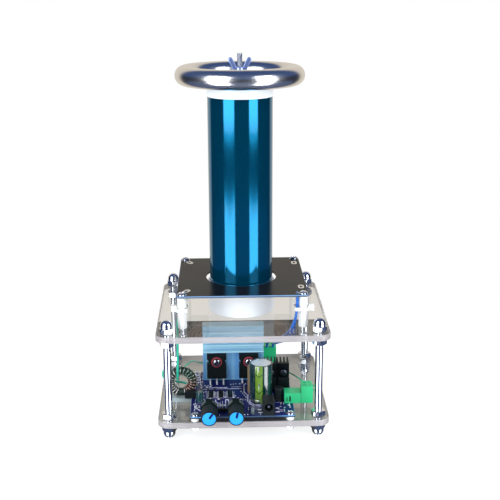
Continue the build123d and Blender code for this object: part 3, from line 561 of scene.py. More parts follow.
def slab(outer, holes, low, high, bevel, clearHoles=False):
    # flat sheet with holes: walls and bevels are grids, the faces are filled between the loops
    points, faces, slots, insets, firsts, total = [], [], [], [], [], 0
    for index, make in enumerate([outer, *holes]):
        wall, inset = make(0.0), make(bevel)
        points += [np.column_stack([loop, np.full(len(loop), z)])
                   for loop, z in ((inset, low), (wall, low + bevel), (wall, high - bevel), (inset, high))]
        faces += gridFaces(4, len(wall), False, total)
        slots += [0 if index and clearHoles else 1] * (3 * len(wall))
        insets.append(inset)
        firsts.append(total)
        total += 4 * len(wall)
    fill = tessellate_polygon([[Vector((*p, 0)) for p in loop] for loop in insets])
    index = np.concatenate([first + np.arange(len(loop)) for first, loop in zip(firsts, insets)])
    last = np.concatenate([first + 3 * len(loop) + np.arange(len(loop))
                           for first, loop in zip(firsts, insets)])
    for corners in fill:
        faces += [[int(side[c]) for c in corners] for side in (index, last)]
        slots += [0, 0]
    return np.concatenate(points), faces, slots, np.zeros((total, 2))


def roundHole(x, y, d, count=40):
    return lambda inset: circleLoop(x, y, d + 2 * inset, count)


def sheetOutline(wide, deep, corner, x=0.0, y=0.0):
    return lambda inset: roundLoop(wide - 2 * inset, deep - 2 * inset, corner - inset, x, y, 10)


def offsetLoop(loop):
    # the loop runs counter-clockwise; each corner moves inwards along its own bisector
    def make(inset):
        before = loop - np.roll(loop, 1, 0)
        after = np.roll(loop, -1, 0) - loop
        before, after = (d / np.linalg.norm(d, axis=1)[:, None] for d in (before, after))
        first, second = (np.column_stack([-d[:, 1], d[:, 0]]) for d in (before, after))
        share = 1 + (first * second).sum(1)[:, None]
        return loop + inset * (first + second) / share
    return make


def closedTube(path, radius, sides=12, side=(0.31, 0.83, 0.46)):
    # circle carried along a path, its frame turned as little as possible from point to point
    path = np.asarray(path, float)
    along = np.gradient(path, axis=0)
    along /= np.linalg.norm(along, axis=1)[:, None]
    side = np.cross(along[0], side)
    across = []
    for direction in along:
        side = side - direction * (side @ direction)
        side = side / np.linalg.norm(side)
        across.append(side)
    across = np.array(across)
    other = np.cross(along, across)
    angle = np.arange(sides) * 2 * pi / sides
    grid = path[:, None] + radius * (across[:, None] * np.cos(angle)[None, :, None]
                                     + other[:, None] * np.sin(angle)[None, :, None])
    first, last = (np.repeat(path[end][None], sides, 0) for end in (0, -1))
    return gridPart(np.array([first, *grid, last]))


def hexBar(across, high, bore=0.0, bevel=0.0, turns=72):
    # hexagon cut by a cone at both ends; a bore makes the profile a closed loop
    angle = np.arange(turns) * 2 * pi / turns
    reach = across / 2 / np.cos((angle + pi / 6) % (pi / 3) - pi / 6)
    point = across / sqrt(3)
    flat = point - bevel * 1.9
    rows = [(np.minimum(reach, flat + (point - flat) * share), bevel * share)
            for share in (0.0, 0.34, 0.67, 1.0)]
    rows += [(r, high - z) for r, z in reversed(rows)]
    bored = np.full(turns, bore / 2)
    return np.array([np.stack([r * np.cos(angle), r * np.sin(angle), np.full(turns, z)], 1)
                     for r, z in [(bored, 0.0), *rows, (bored, high)]])


def addPiece(name, parts, finish, replaces=(), body="chassis", sharp=32, uv=False):
    # the parts are joined, closed and faced outwards; the finish is one name or a list for the slots
    faces, slots, total = [], [], 0
    for points, more, kinds, shares in parts:
        faces += [[corner + total for corner in face] for face in more]
        slots += kinds
        total += len(points)
    mesh = bpy.data.meshes.new(name)
    mesh.from_pydata((np.concatenate([part[0] for part in parts]) * mm).tolist(), [], faces)
    for item in [finish] if isinstance(finish, str) else finish:
        mesh.materials.append(finishes[item].material)
    mesh.polygons.foreach_set("material_index", slots)
    if uv:
        layer = mesh.uv_layers.new(name="along")
        loops = np.zeros(len(mesh.loops), np.int32)
        mesh.loops.foreach_get("vertex_index", loops)
        layer.uv.foreach_set("vector", np.concatenate([part[3] for part in parts])[loops].ravel())
    work = bmesh.new()
    work.from_mesh(mesh)
    bmesh.ops.remove_doubles(work, verts=work.verts, dist=1e-7)
    bmesh.ops.recalc_face_normals(work, faces=work.faces)
    work.to_mesh(mesh)
    work.free()
    mesh.shade_smooth()
    mesh.set_sharp_from_angle(angle=radians(sharp))
    piece = bpy.data.objects.new(name, mesh)
    bpy.context.scene.collection.objects.link(piece)
    if body:
        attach(piece, body)
    if replaces:
        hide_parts(*replaces)
    return piece


# frame: plates, columns and nuts; a hole is its place and its width
plates = {"size": 132.0, "corner": 9.0, "bevel": 0.35, "span": 115.0, "studHole": 6.4, "screwHole": 3.4,
          "boardSpan": 92.0, "driverInset": 3.5,
          "topHoles": [(0, 0, 4.4), (-50.0, -41.0, 3.2), (37.4, -45.1, 8.0)]}
columns = {"across": 10.0, "nutHigh": 5.0, "bore": 6.0, "studD": 6.0, "bevel": 0.7, "capHex": 5.2,
           "capHigh": 11.0, "domeD": 9.4, "flatD": 2.4, "thread": 1.0, "threadDeep": 0.28,
           "threadPast": 3.0, "nutTurn": 15}


def corners(span):
    return [(x * span / 2, y * span / 2) for x in (-1, 1) for y in (-1, 1)]


def driverCorners():
    low, high = box("driver_board")
    inset = plates["driverInset"]
    return [(x, y) for x in (low[0] + inset, high[0] - inset) for y in (low[1] + inset, high[1] - inset)]


def buildPlates(p):
    outer = sheetOutline(p["size"], p["size"], p["corner"])
    studs = [(x, y, p["studHole"]) for x, y in corners(p["span"])]
    lowHoles = [(x, y, p["screwHole"]) for x, y in driverCorners()]
    topHoles = [(x, y, p["screwHole"]) for x, y in corners(p["boardSpan"])] + p["topHoles"]
    for name, node, finish, more in (("clearPlateLow", "bottom_plate", "plateLow", lowHoles),
                                     ("clearPlateTop", "top_plate", "plateTop", topHoles)):
        low, high = box(node)
        holes = [roundHole(*hole) for hole in studs + more]
        addPiece(name, [slab(outer, holes, low[2], high[2], p["bevel"], True)], [finish, "acrylicEdge"],
                 [node])


def buildColumns(c):
    # threaded ends and plain middle, with a hexagon nut on each side of a plate
    low, high = box("columns")
    bottom, top = box("column_nuts")
    z = np.arange(low[2], high[2] + 0.01, c["thread"] / 4)
    reachNut = c["nutHigh"] + c["threadPast"]
    bare = (z > bottom[2] + reachNut) & (z < top[2] - reachNut)
    groove = c["threadDeep"] * (0.5 - 0.5 * np.cos(2 * pi * z / c["thread"]))
    reach = c["studD"] / 2 - np.where(bare, 0.0, groove)
    profile = [(0, z[0]), *zip(reach, z), (0, z[-1])]
    places = corners(plates["span"])
    addPiece("chromeColumns", [lathed(profile, 32, (x, y, 0)) for x, y in places], "chrome",
             ["columns"])
    nut = hexBar(c["across"], c["nutHigh"], c["bore"], c["bevel"])
    nuts = [gridPart(turned(nut, (x, y, z), spin=c["nutTurn"]), True) for x, y in places
            for z in (bottom[2], top[2] - c["nutHigh"])]
    addPiece("chromeNuts", nuts, "chrome", ["column_nuts"])


def buildDomedNuts(c):
    # hexagon below, step, then a ball cut flat
    hexagon = hexBar(c["across"], c["capHex"], 0.0, c["bevel"])[:-1]
    dome, flat = c["domeD"] / 2, c["flatD"] / 2
    turns = np.linspace(pi / 2, np.arcsin(flat / dome), 10)
    start = c["capHigh"] - sqrt(dome ** 2 - flat ** 2)
    ball = np.column_stack([dome * np.sin(turns), start + dome * np.cos(turns)])
    nut = np.concatenate([hexagon, lathe([(dome, c["capHex"]), *ball, (0, c["capHigh"])], hexagon.shape[1])])
    low, high = box("cap_nuts")
    feet, caps = ([gridPart(turned(nut, (x, y, z), (0, 0, way))) for x, y in corners(plates["span"])]
                  for z, way in ((low[2] + c["capHigh"], -1), (high[2] - c["capHigh"], 1)))
    addPiece("domedNuts", feet + caps, "chrome", ["cap_nuts"])


# coil tower: collar, wound sleeve, cap, polished ring, stud and wing nut
collar = {"bore": 2.2, "inner": 24.63, "floor": 4.0, "recess": 1.6, "turns": 128}
cap = {"bore": 2.2, "spigotOuter": 22.56, "spigotInner": 20.56, "turns": 128}
ring = {"major": 42.0, "tube": 7.25, "web": 1.2, "webOuter": 30.0, "hole": 4.4, "turns": 192, "arc": 56}
stud = {"d": 4.0, "pitch": 0.7, "deep": 0.22, "chamfer": 0.35, "turns": 32, "perTurn": 6}
wing = {"hubLow": 4.3, "hubHigh": 3.6, "hub": 4.6, "bore": 4.1, "span": 18.8, "high": 12.6,
        "root": 3.3, "foot": 1.9, "tipInset": 1.9, "tipDrop": 1.7, "lean": 1.1, "squareness": 0.22,
        "across": ([0, 0.4, 0.8, 1.0], [1.7, 1.75, 1.8, 1.5]), "thick": ([0, 0.5, 1.0], [2.1, 1.35, 0.6]),
        "tip": 0.9, "tipEdge": 0.6, "tipShare": 0.62, "steps": 14, "around": 20}


def buildCollar(c):
    low, high = box("coil_base_collar")
    half = size("coil_base_collar")[0] / 2
    seat = size("secondary_winding")[0] / 2
    shoulder, floor = high[2] - c["recess"], low[2] + c["floor"]
    profile = rounded([(c["bore"], low[2], 0), (half, low[2], 0.4), (half, shoulder, 0.5),
                       (seat, shoulder, 0.1), (seat, high[2], 0.1), (c["inner"], high[2], 0.1),
                       (c["inner"], floor, 0), (c["bore"], floor, 0)], 4, True)
    addPiece("whiteCollar", [lathed(profile, c["turns"], closed=True)], "collarWhite",
             ["coil_base_collar"])


def buildWinding(w):
    # each turn of wire is a shallow wave of the sleeve's radius
    low, high = box("secondary_winding")
    count = int(round((high[2] - low[2]) / w["pitch"])) * w["rows"] + 1
    z = np.linspace(low[2], high[2], count)
    reach = (high[0] - low[0]) / 2 - w["wave"] * np.abs(((z - low[2]) / w["pitch"]) % 1.0 - 0.5)
    profile = [(w["inner"], z[0]), *zip(reach, z), (w["inner"], z[-1])]
    addPiece("woundSleeve", [lathed(profile, w["turns"], closed=True)], "windingEnamel",
             ["secondary_winding"])


def buildCap(c):
    low, high = box("coil_top_cap")
    half = (high[0] - low[0]) / 2
    rim = box("secondary_winding")[1][2]
    profile = rounded([(c["spigotOuter"], low[2], 0.3), (c["spigotOuter"], rim, 0), (half, rim, 0.3),
                       (half, high[2], 0.9), (c["bore"], high[2], 0), (c["bore"], rim, 0),
                       (c["spigotInner"], rim, 0), (c["spigotInner"], low[2], 0)], 4, True)
    addPiece("whiteCap", [lathed(profile, c["turns"], closed=True)], "capWhite",
             ["coil_top_cap"])


def buildRing(r):
    # the outer skin runs from the web's hole over the tube and back under the web
    level = middle("top_electrode")[2]
    hole, outer, above = r["hole"] / 2, r["webOuter"], level + r["web"]
    angles = np.linspace(pi - np.arcsin(r["web"] / r["tube"]), -pi, r["arc"])
    tube = np.column_stack([r["major"] + r["tube"] * np.cos(angles), level + r["tube"] * np.sin(angles)])
    profile = [(hole, above), (outer, above), *tube, (outer, level), (hole, level)]
    addPiece("polishedRing", [lathed(profile, r["turns"], closed=True)], "polishedRing",
             ["top_electrode"], "electrode")


def buildStud(s):
    # screw thread: the radius falls by a rounded groove whose phase follows height and angle
    low, high = (corner[2] for corner in box("electrode_stud"))
    z = np.arange(low, high + 1e-6, s["pitch"] / s["perTurn"])[:, None]
    angle = np.arange(s["turns"]) * 2 * pi / s["turns"]
    groove = s["deep"] * (0.5 - 0.5 * np.cos(2 * pi * (z / s["pitch"] - angle / (2 * pi))))
    fade = np.clip((high - z) / s["pitch"], 0, 1)
    reach = s["d"] / 2 - groove * fade - s["chamfer"] * (1 - fade)
    grid = np.stack([reach * np.cos(angle), reach * np.sin(angle), z + 0 * angle], 2)
    ends = [np.repeat([[[0, 0, z[end, 0]]]], s["turns"], 1) for end in (0, -1)]
    addPiece("threadedStud", [gridPart(np.concatenate([ends[0], grid, ends[1]]))], "zincSteel",
             ["electrode_stud"])


def wingEar(w, side, base):
    # a squarish oval section follows a spine outwards and up
    share = np.linspace(0, 1, w["steps"])
    out = w["root"] + (w["span"] / 2 - w["root"] - w["tipInset"]) * share ** w["lean"]
    up = w["foot"] + (w["high"] - w["foot"] - w["tipDrop"]) * share
    across, thick = (np.interp(share, *w[key]) for key in ("across", "thick"))
    spine = np.stack([side * out, np.zeros_like(out), base + up], 1)
    along = np.gradient(spine, axis=0)
    along /= np.linalg.norm(along, axis=1)[:, None]
    normal = np.cross(along, (0, 1, 0))
    angle = np.arange(w["around"]) * 2 * pi / w["around"]
    a, b = (np.sign(wave) * np.abs(wave) ** w["squareness"] for wave in (np.cos(angle), np.sin(angle)))
    body = (spine[:, None] + normal[:, None] * (across[:, None] * a)[:, :, None]
            + np.array((0, 1, 0)) * (thick[:, None] * b)[:, :, None])
    last = spine[-1] + along[-1] * w["tipEdge"] + (body[-1] - spine[-1]) * w["tipShare"]
    tip = spine[-1] + along[-1] * w["tip"]
    return gridPart(np.array([np.repeat(spine[:1], w["around"], 0), *body, last,
                              np.repeat(tip[None], w["around"], 0)]))


def buildWingNut(w):
    base = box("wing_nut")[0][2]
    bore = w["bore"] / 2
    hub = rounded([(bore, 0, 0), (w["hubLow"], 0, 0.5), (w["hubHigh"], w["hub"], 0.6),
                   (bore, w["hub"], 0.2)], 4, True)
    ears = [wingEar(w, side, base) for side in (-1, 1)]
    addPiece("castWingNut", [lathed(hub, 48, (0, 0, base), closed=True), *ears], "wingZinc",
             ["wing_nut"], "wing_nut", sharp=50)


# boards: bevelled sheets with holes, pads, solder and printed lines
boards = {"bevel": 0.15, "corner": 3.0, "towerHole": 56.0, "screwHole": 3.4, "driverCorner": 2.0,
          "padD": 6.4, "widePadD": 7.2, "padThick": 0.05, "ovalPad": (4.6, 8.6, 2.0),
          "ovalPlaces": [(-42.6, 38.0, 29), (-42.8, -37.6, -29), (45.6, -30.0, 0), (45.2, 33.6, 0)],
          "blackJoints": [(-4.5, -0.9), (-4.6, 1.5)], "backJoint": (2.8, 5.4),
          "jointSize": (2.6, 1.1), "driverJointSize": (1.9, 0.8)}
screw = {"head": 3.0, "high": 1.9, "slotLong": 1.65, "slotWide": 0.42, "slotSoft": 0.035, "deep": 1.0,
         "shank": 1.5, "edge": 0.12, "rimHigh": 0.4, "topShare": 0.985, "dome": 0.72, "domePower": 2.6,
         "rings": 26, "turns": 48}


def panScrew(length, place, axis=(0, 0, 1), spin=0.0, s=screw):
    # domed head; its height falls inside a cross of two slots, by smooth steps in x and y
    share = np.linspace(0, 1, s["rings"])[:, None] * s["topShare"]
    reach = share * s["head"]
    angle = np.arange(s["turns"]) * 2 * pi / s["turns"]
    across, along = np.abs(reach * np.cos(angle)), np.abs(reach * np.sin(angle))
    dome = s["high"] * np.sqrt(np.clip(1 - s["dome"] * share ** s["domePower"], 0, 1))

    def inside(value, limit):
        return 1 / (1 + np.exp((value - limit) / s["slotSoft"]))
    cross = np.maximum(inside(across, s["slotWide"]) * inside(along, s["slotLong"]),
                       inside(along, s["slotWide"]) * inside(across, s["slotLong"]))
    top = np.stack([reach * np.cos(angle), reach * np.sin(angle), dome - s["deep"] * cross], 2)
    side = lathe([(s["head"], s["high"] * s["rimHigh"]), (s["head"], s["edge"]), (s["head"] - s["edge"], 0),
                  (s["shank"], 0), (s["shank"], -length), (0, -length)], s["turns"])
    return gridPart(turned(np.concatenate([top, side]), place, axis, spin))


def ringPad(x, y, z, outer, inner, thick, turns=40):
    outer, inner = outer / 2, inner / 2
    return lathed([(inner, z), (outer, z), (outer, z + thick), (inner, z + thick)], turns, (x, y, 0),
                  closed=True)


def ovalPad(x, y, z, turn, s):
    # tinned pad with a long hole in it
    wide, long, hole = s["ovalPad"]
    holes = [lambda inset: roundLoop(hole + 2 * inset, hole * 2 + 2 * inset, hole / 2 - 0.1, steps=6)]
    pad = slab(sheetOutline(wide, long, wide / 2 - 0.1), holes, 0, s["padThick"], 0.01)
    return moved(pad, lambda points: turned(points, (x, y, z), spin=turn))


def solderDome(x, y, z, d, high):
    # a flared cone of solder with a rounded tip
    shares = ((0, 0), (1, 0), (0.78, 0.16), (0.52, 0.5), (0.36, 0.86), (0.18, 1), (0, 1))
    return lathed([(d / 2 * out, z + high * up) for out, up in shares], 20, (x, y, 0))


def buildBlackBoard(s):
    low, high = box("primary_board")
    wide, z = high[0] - low[0], high[2]
    places = corners(plates["boardSpan"])
    post = middle("board_standoffs")[0] + plates["boardSpan"] / 2
    holes = [roundHole(0, 0, s["towerHole"], 120)] + [roundHole(x, y, s["screwHole"]) for x, y in places]
    addPiece("blackBoard", [slab(sheetOutline(wide, wide, s["corner"]), holes, low[2], z, s["bevel"], True)],
             ["blackMask", "litRimBoardEdge"], ["primary_board"])
    pads = [ringPad(x, y, z, s["widePadD"], s["screwHole"], s["padThick"]) for x, y in places]
    spots = [(post + x, y - post) for x, y in s["blackJoints"]]
    spots.append((s["backJoint"][0] - post, s["backJoint"][1] - post))
    joints = [solderDome(x, y, z, *s["jointSize"]) for x, y in spots]
    ovals = [ovalPad(x, y, z, turn, s) for x, y, turn in s["ovalPlaces"]]
    addPiece("boardSolder", pads + joints + ovals, "solder")


# rows of solder joints on the driver board: first place from its lowest corner, step and how many
jointRows = [((12.0, 2.6), (2.54, 0), 5), ((31.0, 2.6), (2.54, 0), 6), ((54.0, 2.4), (0, 0), 1),
             ((72.0, 7.0), (0, 3.4), 2), ((77.0, 14.0), (0, 2.6), 3), ((3.0, 10.5), (0, 2.54), 6),
             ((8.0, 44.5), (3.4, 0), 7), ((3.2, 60.0), (0, 3.0), 5)]


def inRow(first, step, count):
    return [(first[0] + step[0] * index, first[1] + step[1] * index) for index in range(count)]


def buildDriverBoard(s):
    low, high = box("driver_board")
    x, y, _ = middle("driver_board")
    outer = sheetOutline(high[0] - low[0], high[1] - low[1], s["driverCorner"], x, y)
    holes = [roundHole(x, y, s["screwHole"]) for x, y in driverCorners()]
    addPiece("violetBoard", [slab(outer, holes, low[2], high[2], s["bevel"])], ["violetMask", "litEdge"],
             ["driver_board"])
    z = high[2]
    pads = [ringPad(x, y, z, s["padD"], s["screwHole"], s["padThick"]) for x, y in driverCorners()]
    spots = [(low[0] + x, low[1] + y) for row in jointRows for x, y in inRow(*row)]
    joints = [solderDome(x, y, z, *s["driverJointSize"]) for x, y in spots]
    addPiece("driverSolder", pads + joints, "solder")


# printed frames round the parts, two combs of lines, and tracks that show through the mask
prints = {"wide": 0.22, "thick": 0.03, "bevel": 0.005, "corner": 0.4, "innerCorner": 0.3, "trackWide": 0.55,
          "barThick": 0.045, "barCorner": 0.2, "chipFrame": (7.2, 11.4),
          "margins": {"reservoir_capacitor": 0.9, "filter_choke": 0.7, "small_capacitor": 0.7}}
upComb = {"first": (9.5, 17.5), "pitch": 1.9, "count": 9, "long": 7.0, "longer": 1.4, "every": 3}
sideComb = {"first": (-33.0, 11.5), "pitch": 1.7, "count": 6, "long": 7.0, "longer": 1.5, "every": 2}
trackRuns = [
    [(1.6, -7.5), (1.2, -22.8), (3.7, -28.5), (3.3, -39.5), (6.6, -46.8), (13.6, -49.2)],
    [(5.4, -37.0), (5.4, -41.5), (8.6, -46.0), (13.6, -47.4)],
    [(-32.0, -16.2), (1.3, -16.2)], [(-30.0, -13.4), (-12.0, -13.4)], [(-9.0, -12.6), (-1.0, -12.6)],
    [(-36.5, -44.0), (-36.5, -52.0), (-33.0, -55.5)], [(26.0, -58.5), (31.0, -58.5)],
    [(26.5, -56.0), (30.0, -56.0)], [(-21.6, -36.0), (-21.6, -40.5), (-18.5, -43.5)],
    [(-13.8, -36.0), (-13.8, -44.5)], [(-11.4, -36.0), (-11.4, -42.0), (-8.6, -45.0)],
    [(-27.5, -36.0), (-27.5, -42.0)],
]
# a row of bars has its first place, its step, how many, and a bar's width and depth
barRows = [((-22.0, -24.6), (4.9, 0.2), 3, (0.5, 4.2)), ((-20.6, -13.6), (3.4, -0.4), 3, (2.8, 0.9)),
           ((-7.7, -16.0), (3.4, 0.2), 2, (2.9, 0.9)), ((-28.3, -17.4), (3.6, 0), 1, (3.0, 0.6))]


def printedFrame(x, y, z, wide, deep, s):
    inner = [lambda inset: roundLoop(wide - 2 * s["wide"] + 2 * inset, deep - 2 * s["wide"] + 2 * inset,
                                     s["innerCorner"], x, y, 6)]
    return slab(sheetOutline(wide, deep, s["corner"], x, y), inner, z, z + s["thick"], s["bevel"])


def printedLine(start, end, z, wide, s):
    a, b = np.array(start, float), np.array(end, float)
    along = (b - a) / np.linalg.norm(b - a)
    side = np.array([-along[1], along[0]]) * wide / 2
    return slab(offsetLoop(np.array([a - side, b - side, b + side, a + side])), [], z, z + s["thick"],
                s["bevel"])


def combLines(comb, corner, across):
    # level lines stacked in y, or upright lines side by side in x; each group of lines grows longer
    lines = []
    for index in range(comb["count"]):
        x, y = corner[0] + comb["first"][0], corner[1] + comb["first"][1]
        long = comb["long"] + (index % comb["every"]) * comb["longer"]
        if across:
            y += index * comb["pitch"]
            lines.append(((x, y), (x + long, y)))
        else:
            x += index * comb["pitch"]
            lines.append(((x, y), (x, y + long)))
    return lines


def buildPrints(s):
    low, high = box("driver_board")
    z = high[2]
    frames = [printedFrame(*middle(node)[:2], z, *(size(node)[:2] + 2 * margin), s)
              for node, margin in s["margins"].items()]
    frames += [printedFrame(x, y, z, *s["chipFrame"], s) for x, y in chipPlaces()]
    combs = combLines(upComb, low, False) + combLines(sideComb, (high[0], low[1]), True)
    lines = [printedLine(start, end, z, s["wide"], s) for start, end in combs]
    lines += [printedLine(start, end, z, s["trackWide"], s)
              for run in trackRuns for start, end in zip(run, run[1:])]
    bars = [slab(sheetOutline(*shape, s["barCorner"], x, y), [], z, z + s["barThick"], s["bevel"])
            for first, step, count, shape in barRows for x, y in inRow(first, step, count)]
    addPiece("printedLines", frames + lines + bars, "markLines")


# small fittings stand in rows: first place, step from one to the next, how many, and a turn or a radius
tinyRows = [((-35.4, 13.0), (0.4, -5.2), 6, 90), ((-34.0, 9.0), (0.2, -6.0), 3, 0),
            ((-7.0, -36.6), (3.9, -0.6), 3, 0), ((-37.0, -50.2), (2.6, 1.6), 2, 90),
            ((4.8, -52.4), (0, -3.0), 2, 0), ((30.4, -46.0), (3.4, 1.8), 2, 0)]
solderRows = [((-26.0, -7.2), (5.4, 0), 3, 0.8), ((-1.9, -7.0), (4.7, -0.4), 2, 0.75),
              ((-29.0, -12.0), (2.8, 0.6), 2, 0.75), ((-31.3, -21.9), (0, -7.0), 3, 0.55),
              ((-25.9, -33.6), (6.7, -1.5), 3, 0.9), ((-7.5, -32.3), (1.5, 2.6), 2, 0.7),
              ((-21.5, -46.3), (2.4, 0), 7, 0.55), ((-36.4, 16.2), (0.1, -4.9), 5, 0.7),
              ((-38.6, -44.2), (1.4, -3.2), 4, 0.65), ((-9.3, -8.0), (2.1, 0.5), 3, 0.5),
              ((-1.2, -21.8), (1.2, -3.4), 4, 0.55), ((5.2, -23.0), (0.8, 4.6), 2, 0.55)]
platedRows = [((-20.6, -47.5), (2.2, 0), 4), ((-20.6, -45.1), (2.2, 0), 4), ((-30.5, -9.5), (2.6, 0), 3),
              ((-36.8, -28.0), (0, 4.0), 2)]
platedHoles = [(-4.0, -33.5), (-1.5, -36.0), (-4.5, -40.0), (29.0, -50.5), (32.0, -52.0), (35.0, -48.0),
               (-37.0, -20.0)]
tinnedTabs = [(12.4, -55.7), (12.8, -60.4), (26.2, -53.4), (26.0, -59.8)]
fitting = {"tab": (3.2, 1.3, 0.35, 0.5, 0.12), "hole": (1.5, 0.7, 0.04, 20), "solderHigh": 0.5,
           "case": (1.7, 1.1, 0.75, 0.1, 0.08), "end": (0.45, 1.25, 0.82, 0.1, 0.08), "endAt": 0.95}


def buildFittings(s):
    # tinned tabs beside the socket, rings round plated holes, joints, and tiny cases with metal ends
    z = box("driver_board")[1][2]
    tabs = [gridPart(softBlock(*s["tab"], x, y, z)) for x, y in tinnedTabs]
    holes = [place for row in platedRows for place in inRow(*row)] + platedHoles
    tabs += [ringPad(x, y, z, *s["hole"]) for x, y in holes]
    tabs += [solderDome(x, y, z, 2 * r, s["solderHigh"]) for first, step, count, r in solderRows
             for x, y in inRow(first, step, count)]
    cases = []
    for first, step, count, spin in tinyRows:
        for x, y in inRow(first, step, count):
            cases.append(gridPart(turned(softBlock(*s["case"]), (x, y, z), spin=spin)))
            tabs += [gridPart(turned(softBlock(*s["end"], side * s["endAt"]), (x, y, z), spin=spin))
                     for side in (-1, 1)]
    addPiece("tinyCases", cases, "blackEpoxy")
    addPiece("tinnedTabs", tabs, "tin")


# fasteners: each group of screws has its length, the turn between neighbours and the first turn
fasteners = {"top": (8.0, 31, 20), "under": (13.0, 50, 0), "driver": (12.6, 37, 0), "bore": 3.1,
             "postAcross": 6.0, "postBevel": 0.35, "postTurn": 30, "nutAcross": 5.5, "nutBevel": 0.4,
             "spacerInner": 1.7, "spacerOuter": 3.0}


def hexParts(node, places, across, bevel, spin):
    bar = hexBar(across, size(node)[2], fasteners["bore"], bevel)
    return [gridPart(turned(bar, (x, y, box(node)[0][2]), spin=spin), True) for x, y in places]


def buildFasteners(f):
    # the upper screws face +Z, those under the top plate face down
    above, below = corners(plates["boardSpan"]), driverCorners()
    grids = []
    for places, z, way, (length, step, first) in (
            (above, box("primary_board")[1][2], 1, f["top"]), (above, box("top_plate")[0][2], -1, f["under"]),
            (below, box("driver_board")[1][2], 1, f["driver"])):
        grids += [panScrew(length, (x, y, z), (0, 0, way), first + step * index)
                  for index, (x, y) in enumerate(places)]
    addPiece("boardScrews", grids, "zincSteel", ["board_screws"])
    posts = hexParts("board_standoffs", above, f["postAcross"], f["postBevel"], f["postTurn"])
    addPiece("whiteStandoffs", posts, "nylonWhite", ["board_standoffs"])
    high, base = size("driver_spacers")[2], box("driver_spacers")[0][2]
    profile = rounded([(f["spacerInner"], 0, 0.1), (f["spacerOuter"], 0, 0.3), (f["spacerOuter"], high, 0.3),
                       (f["spacerInner"], high, 0.1)], 3, True)
    addPiece("whiteSpacers", [lathed(profile, 32, (x, y, base), closed=True) for x, y in below],
             "nylonWhite", ["driver_spacers"])
    nuts = hexParts("driver_nuts", below, f["nutAcross"], f["nutBevel"], 0)
    addPiece("driverNuts", nuts, "zincSteel", ["driver_nuts"])


# power stage: ribbed sink, two large devices with red washers, two small ones with finned sinks
sink = {"thick": 5.0, "pitch": 5.5, "rib": 1.5, "deep": 6.0, "ribs": 5, "bevel": 0.2, "soft": 0.45,
        "tipShare": 0.45}
power = {"wide": 15.9, "high": 21.0, "thick": 5.0, "raise": 3.4, "drop": 6.0, "notch": 1.7,
         "notchFlat": 0.8, "hole": 3.6, "bevel": 0.45, "places": (-20.7, 5.7), "washer": 8.8,
         "washerThick": 1.0, "screwR": 1.7, "screwLong": 8.0}
regulator = {"wide": 9.6, "inset": 4.8, "corner": 0.3, "edge": 0.4, "screwLong": 3.7, "screwIn": 1.3,
             "screwDrop": 3.1, "sinkWide": 9.8, "fins": 4, "fin": 1.3, "back": 3.0, "bevel": 0.15}


def sinkSection(s, back, top, bottom):
    # the section runs up the back, over the top rib and down the ribbed face, counter-clockwise in (y, z)
    face = back - s["thick"]
    tip = face - s["deep"]
    rows = [(face, bottom, 0.3), (back, bottom, 0.3), (back, top, 0.5)]
    for index in range(s["ribs"]):
        z = top - index * s["pitch"]
        if index:
            rows.append((face, z, s["soft"]))
        curve, foot = s["rib"] * s["tipShare"], z - s["rib"]
        rows += [(tip, z, curve), (tip, foot, curve), (face, foot, s["soft"])]
    return rounded(rows, 4, True)


def buildSink(s):
    low, high = box("heat_sink")
    section = offsetLoop(sinkSection(s, high[1], high[2], low[2]))
    bar = moved(slab(section, [], low[0], high[0], s["bevel"]), lambda points: points[:, [2, 0, 1]])
    addPiece("blueSink", [bar], ["blueAnodised"] * 2, ["heat_sink"], sharp=28)


def buildDevices(p):
    # epoxy bodies notched at the height of their screws, each with a washer and a screw
    level = box("driver_board")[1][2] + p["raise"] + p["high"] / 2
    wide, tall, notch = p["wide"] / 2, p["high"] / 2, p["notch"]
    hole = tall - p["drop"]
    turn = np.linspace(pi / 2, -pi / 2, 9)
    right = [(wide - notch * cos(t) * p["notchFlat"], hole - notch * sin(t)) for t in turn]
    left = [(-wide + notch * cos(t) * p["notchFlat"], hole + notch * sin(t)) for t in turn]
    outline = [(-wide, -tall), (wide, -tall), *right, (wide, tall), (-wide, tall), *left]
    face = box("heat_sink")[0][1] + sink["deep"]
    front = face - p["thick"]
    body = slab(offsetLoop(np.array(outline)), [roundHole(0, hole, p["hole"])], 0, p["thick"], p["bevel"])
    band = rounded([(p["screwR"], 0, 0.1), (p["washer"] / 2, 0, 0.35),
                    (p["washer"] / 2, p["washerThick"], 0.35), (p["screwR"], p["washerThick"], 0.1)], 4, True)
    bodies, washers, screws = [], [], []
    for x in p["places"]:
        bodies.append(moved(body, lambda points: standing(points, (x, face, level))))
        washers.append(lathed(band, 48, (x, front, level + hole), (0, -1, 0), True))
        screws.append(panScrew(p["screwLong"], (x, front - p["washerThick"], level + hole), (0, -1, 0),
                               24 + x))
    addPiece("blackTransistors", bodies, ["blackEpoxy"] * 2, ["power_transistors"])
    addPiece("redWashers", washers, "redFibre", ["insulating_washers"])
    addPiece("sinkScrews", screws, "glossSteel", ["device_screws"])


def finnedSection(s, x, low, high):
    # a back wall with fins that stand away from it
    half, pitch = s["sinkWide"] / 2, (s["sinkWide"] - s["fin"]) / (s["fins"] - 1)
    rows = [(x - half, low, 0.3), (x + half, low, 0.3)]
    for index in range(s["fins"]):
        right = x + half - index * pitch
        rows += [(right, high, 0.4), (right - s["fin"], high, 0.4)]
        if index < s["fins"] - 1:
            rows += [(right - s["fin"], low + s["back"], 0.3), (right - pitch, low + s["back"], 0.3)]
    return rounded(rows, 3, True)


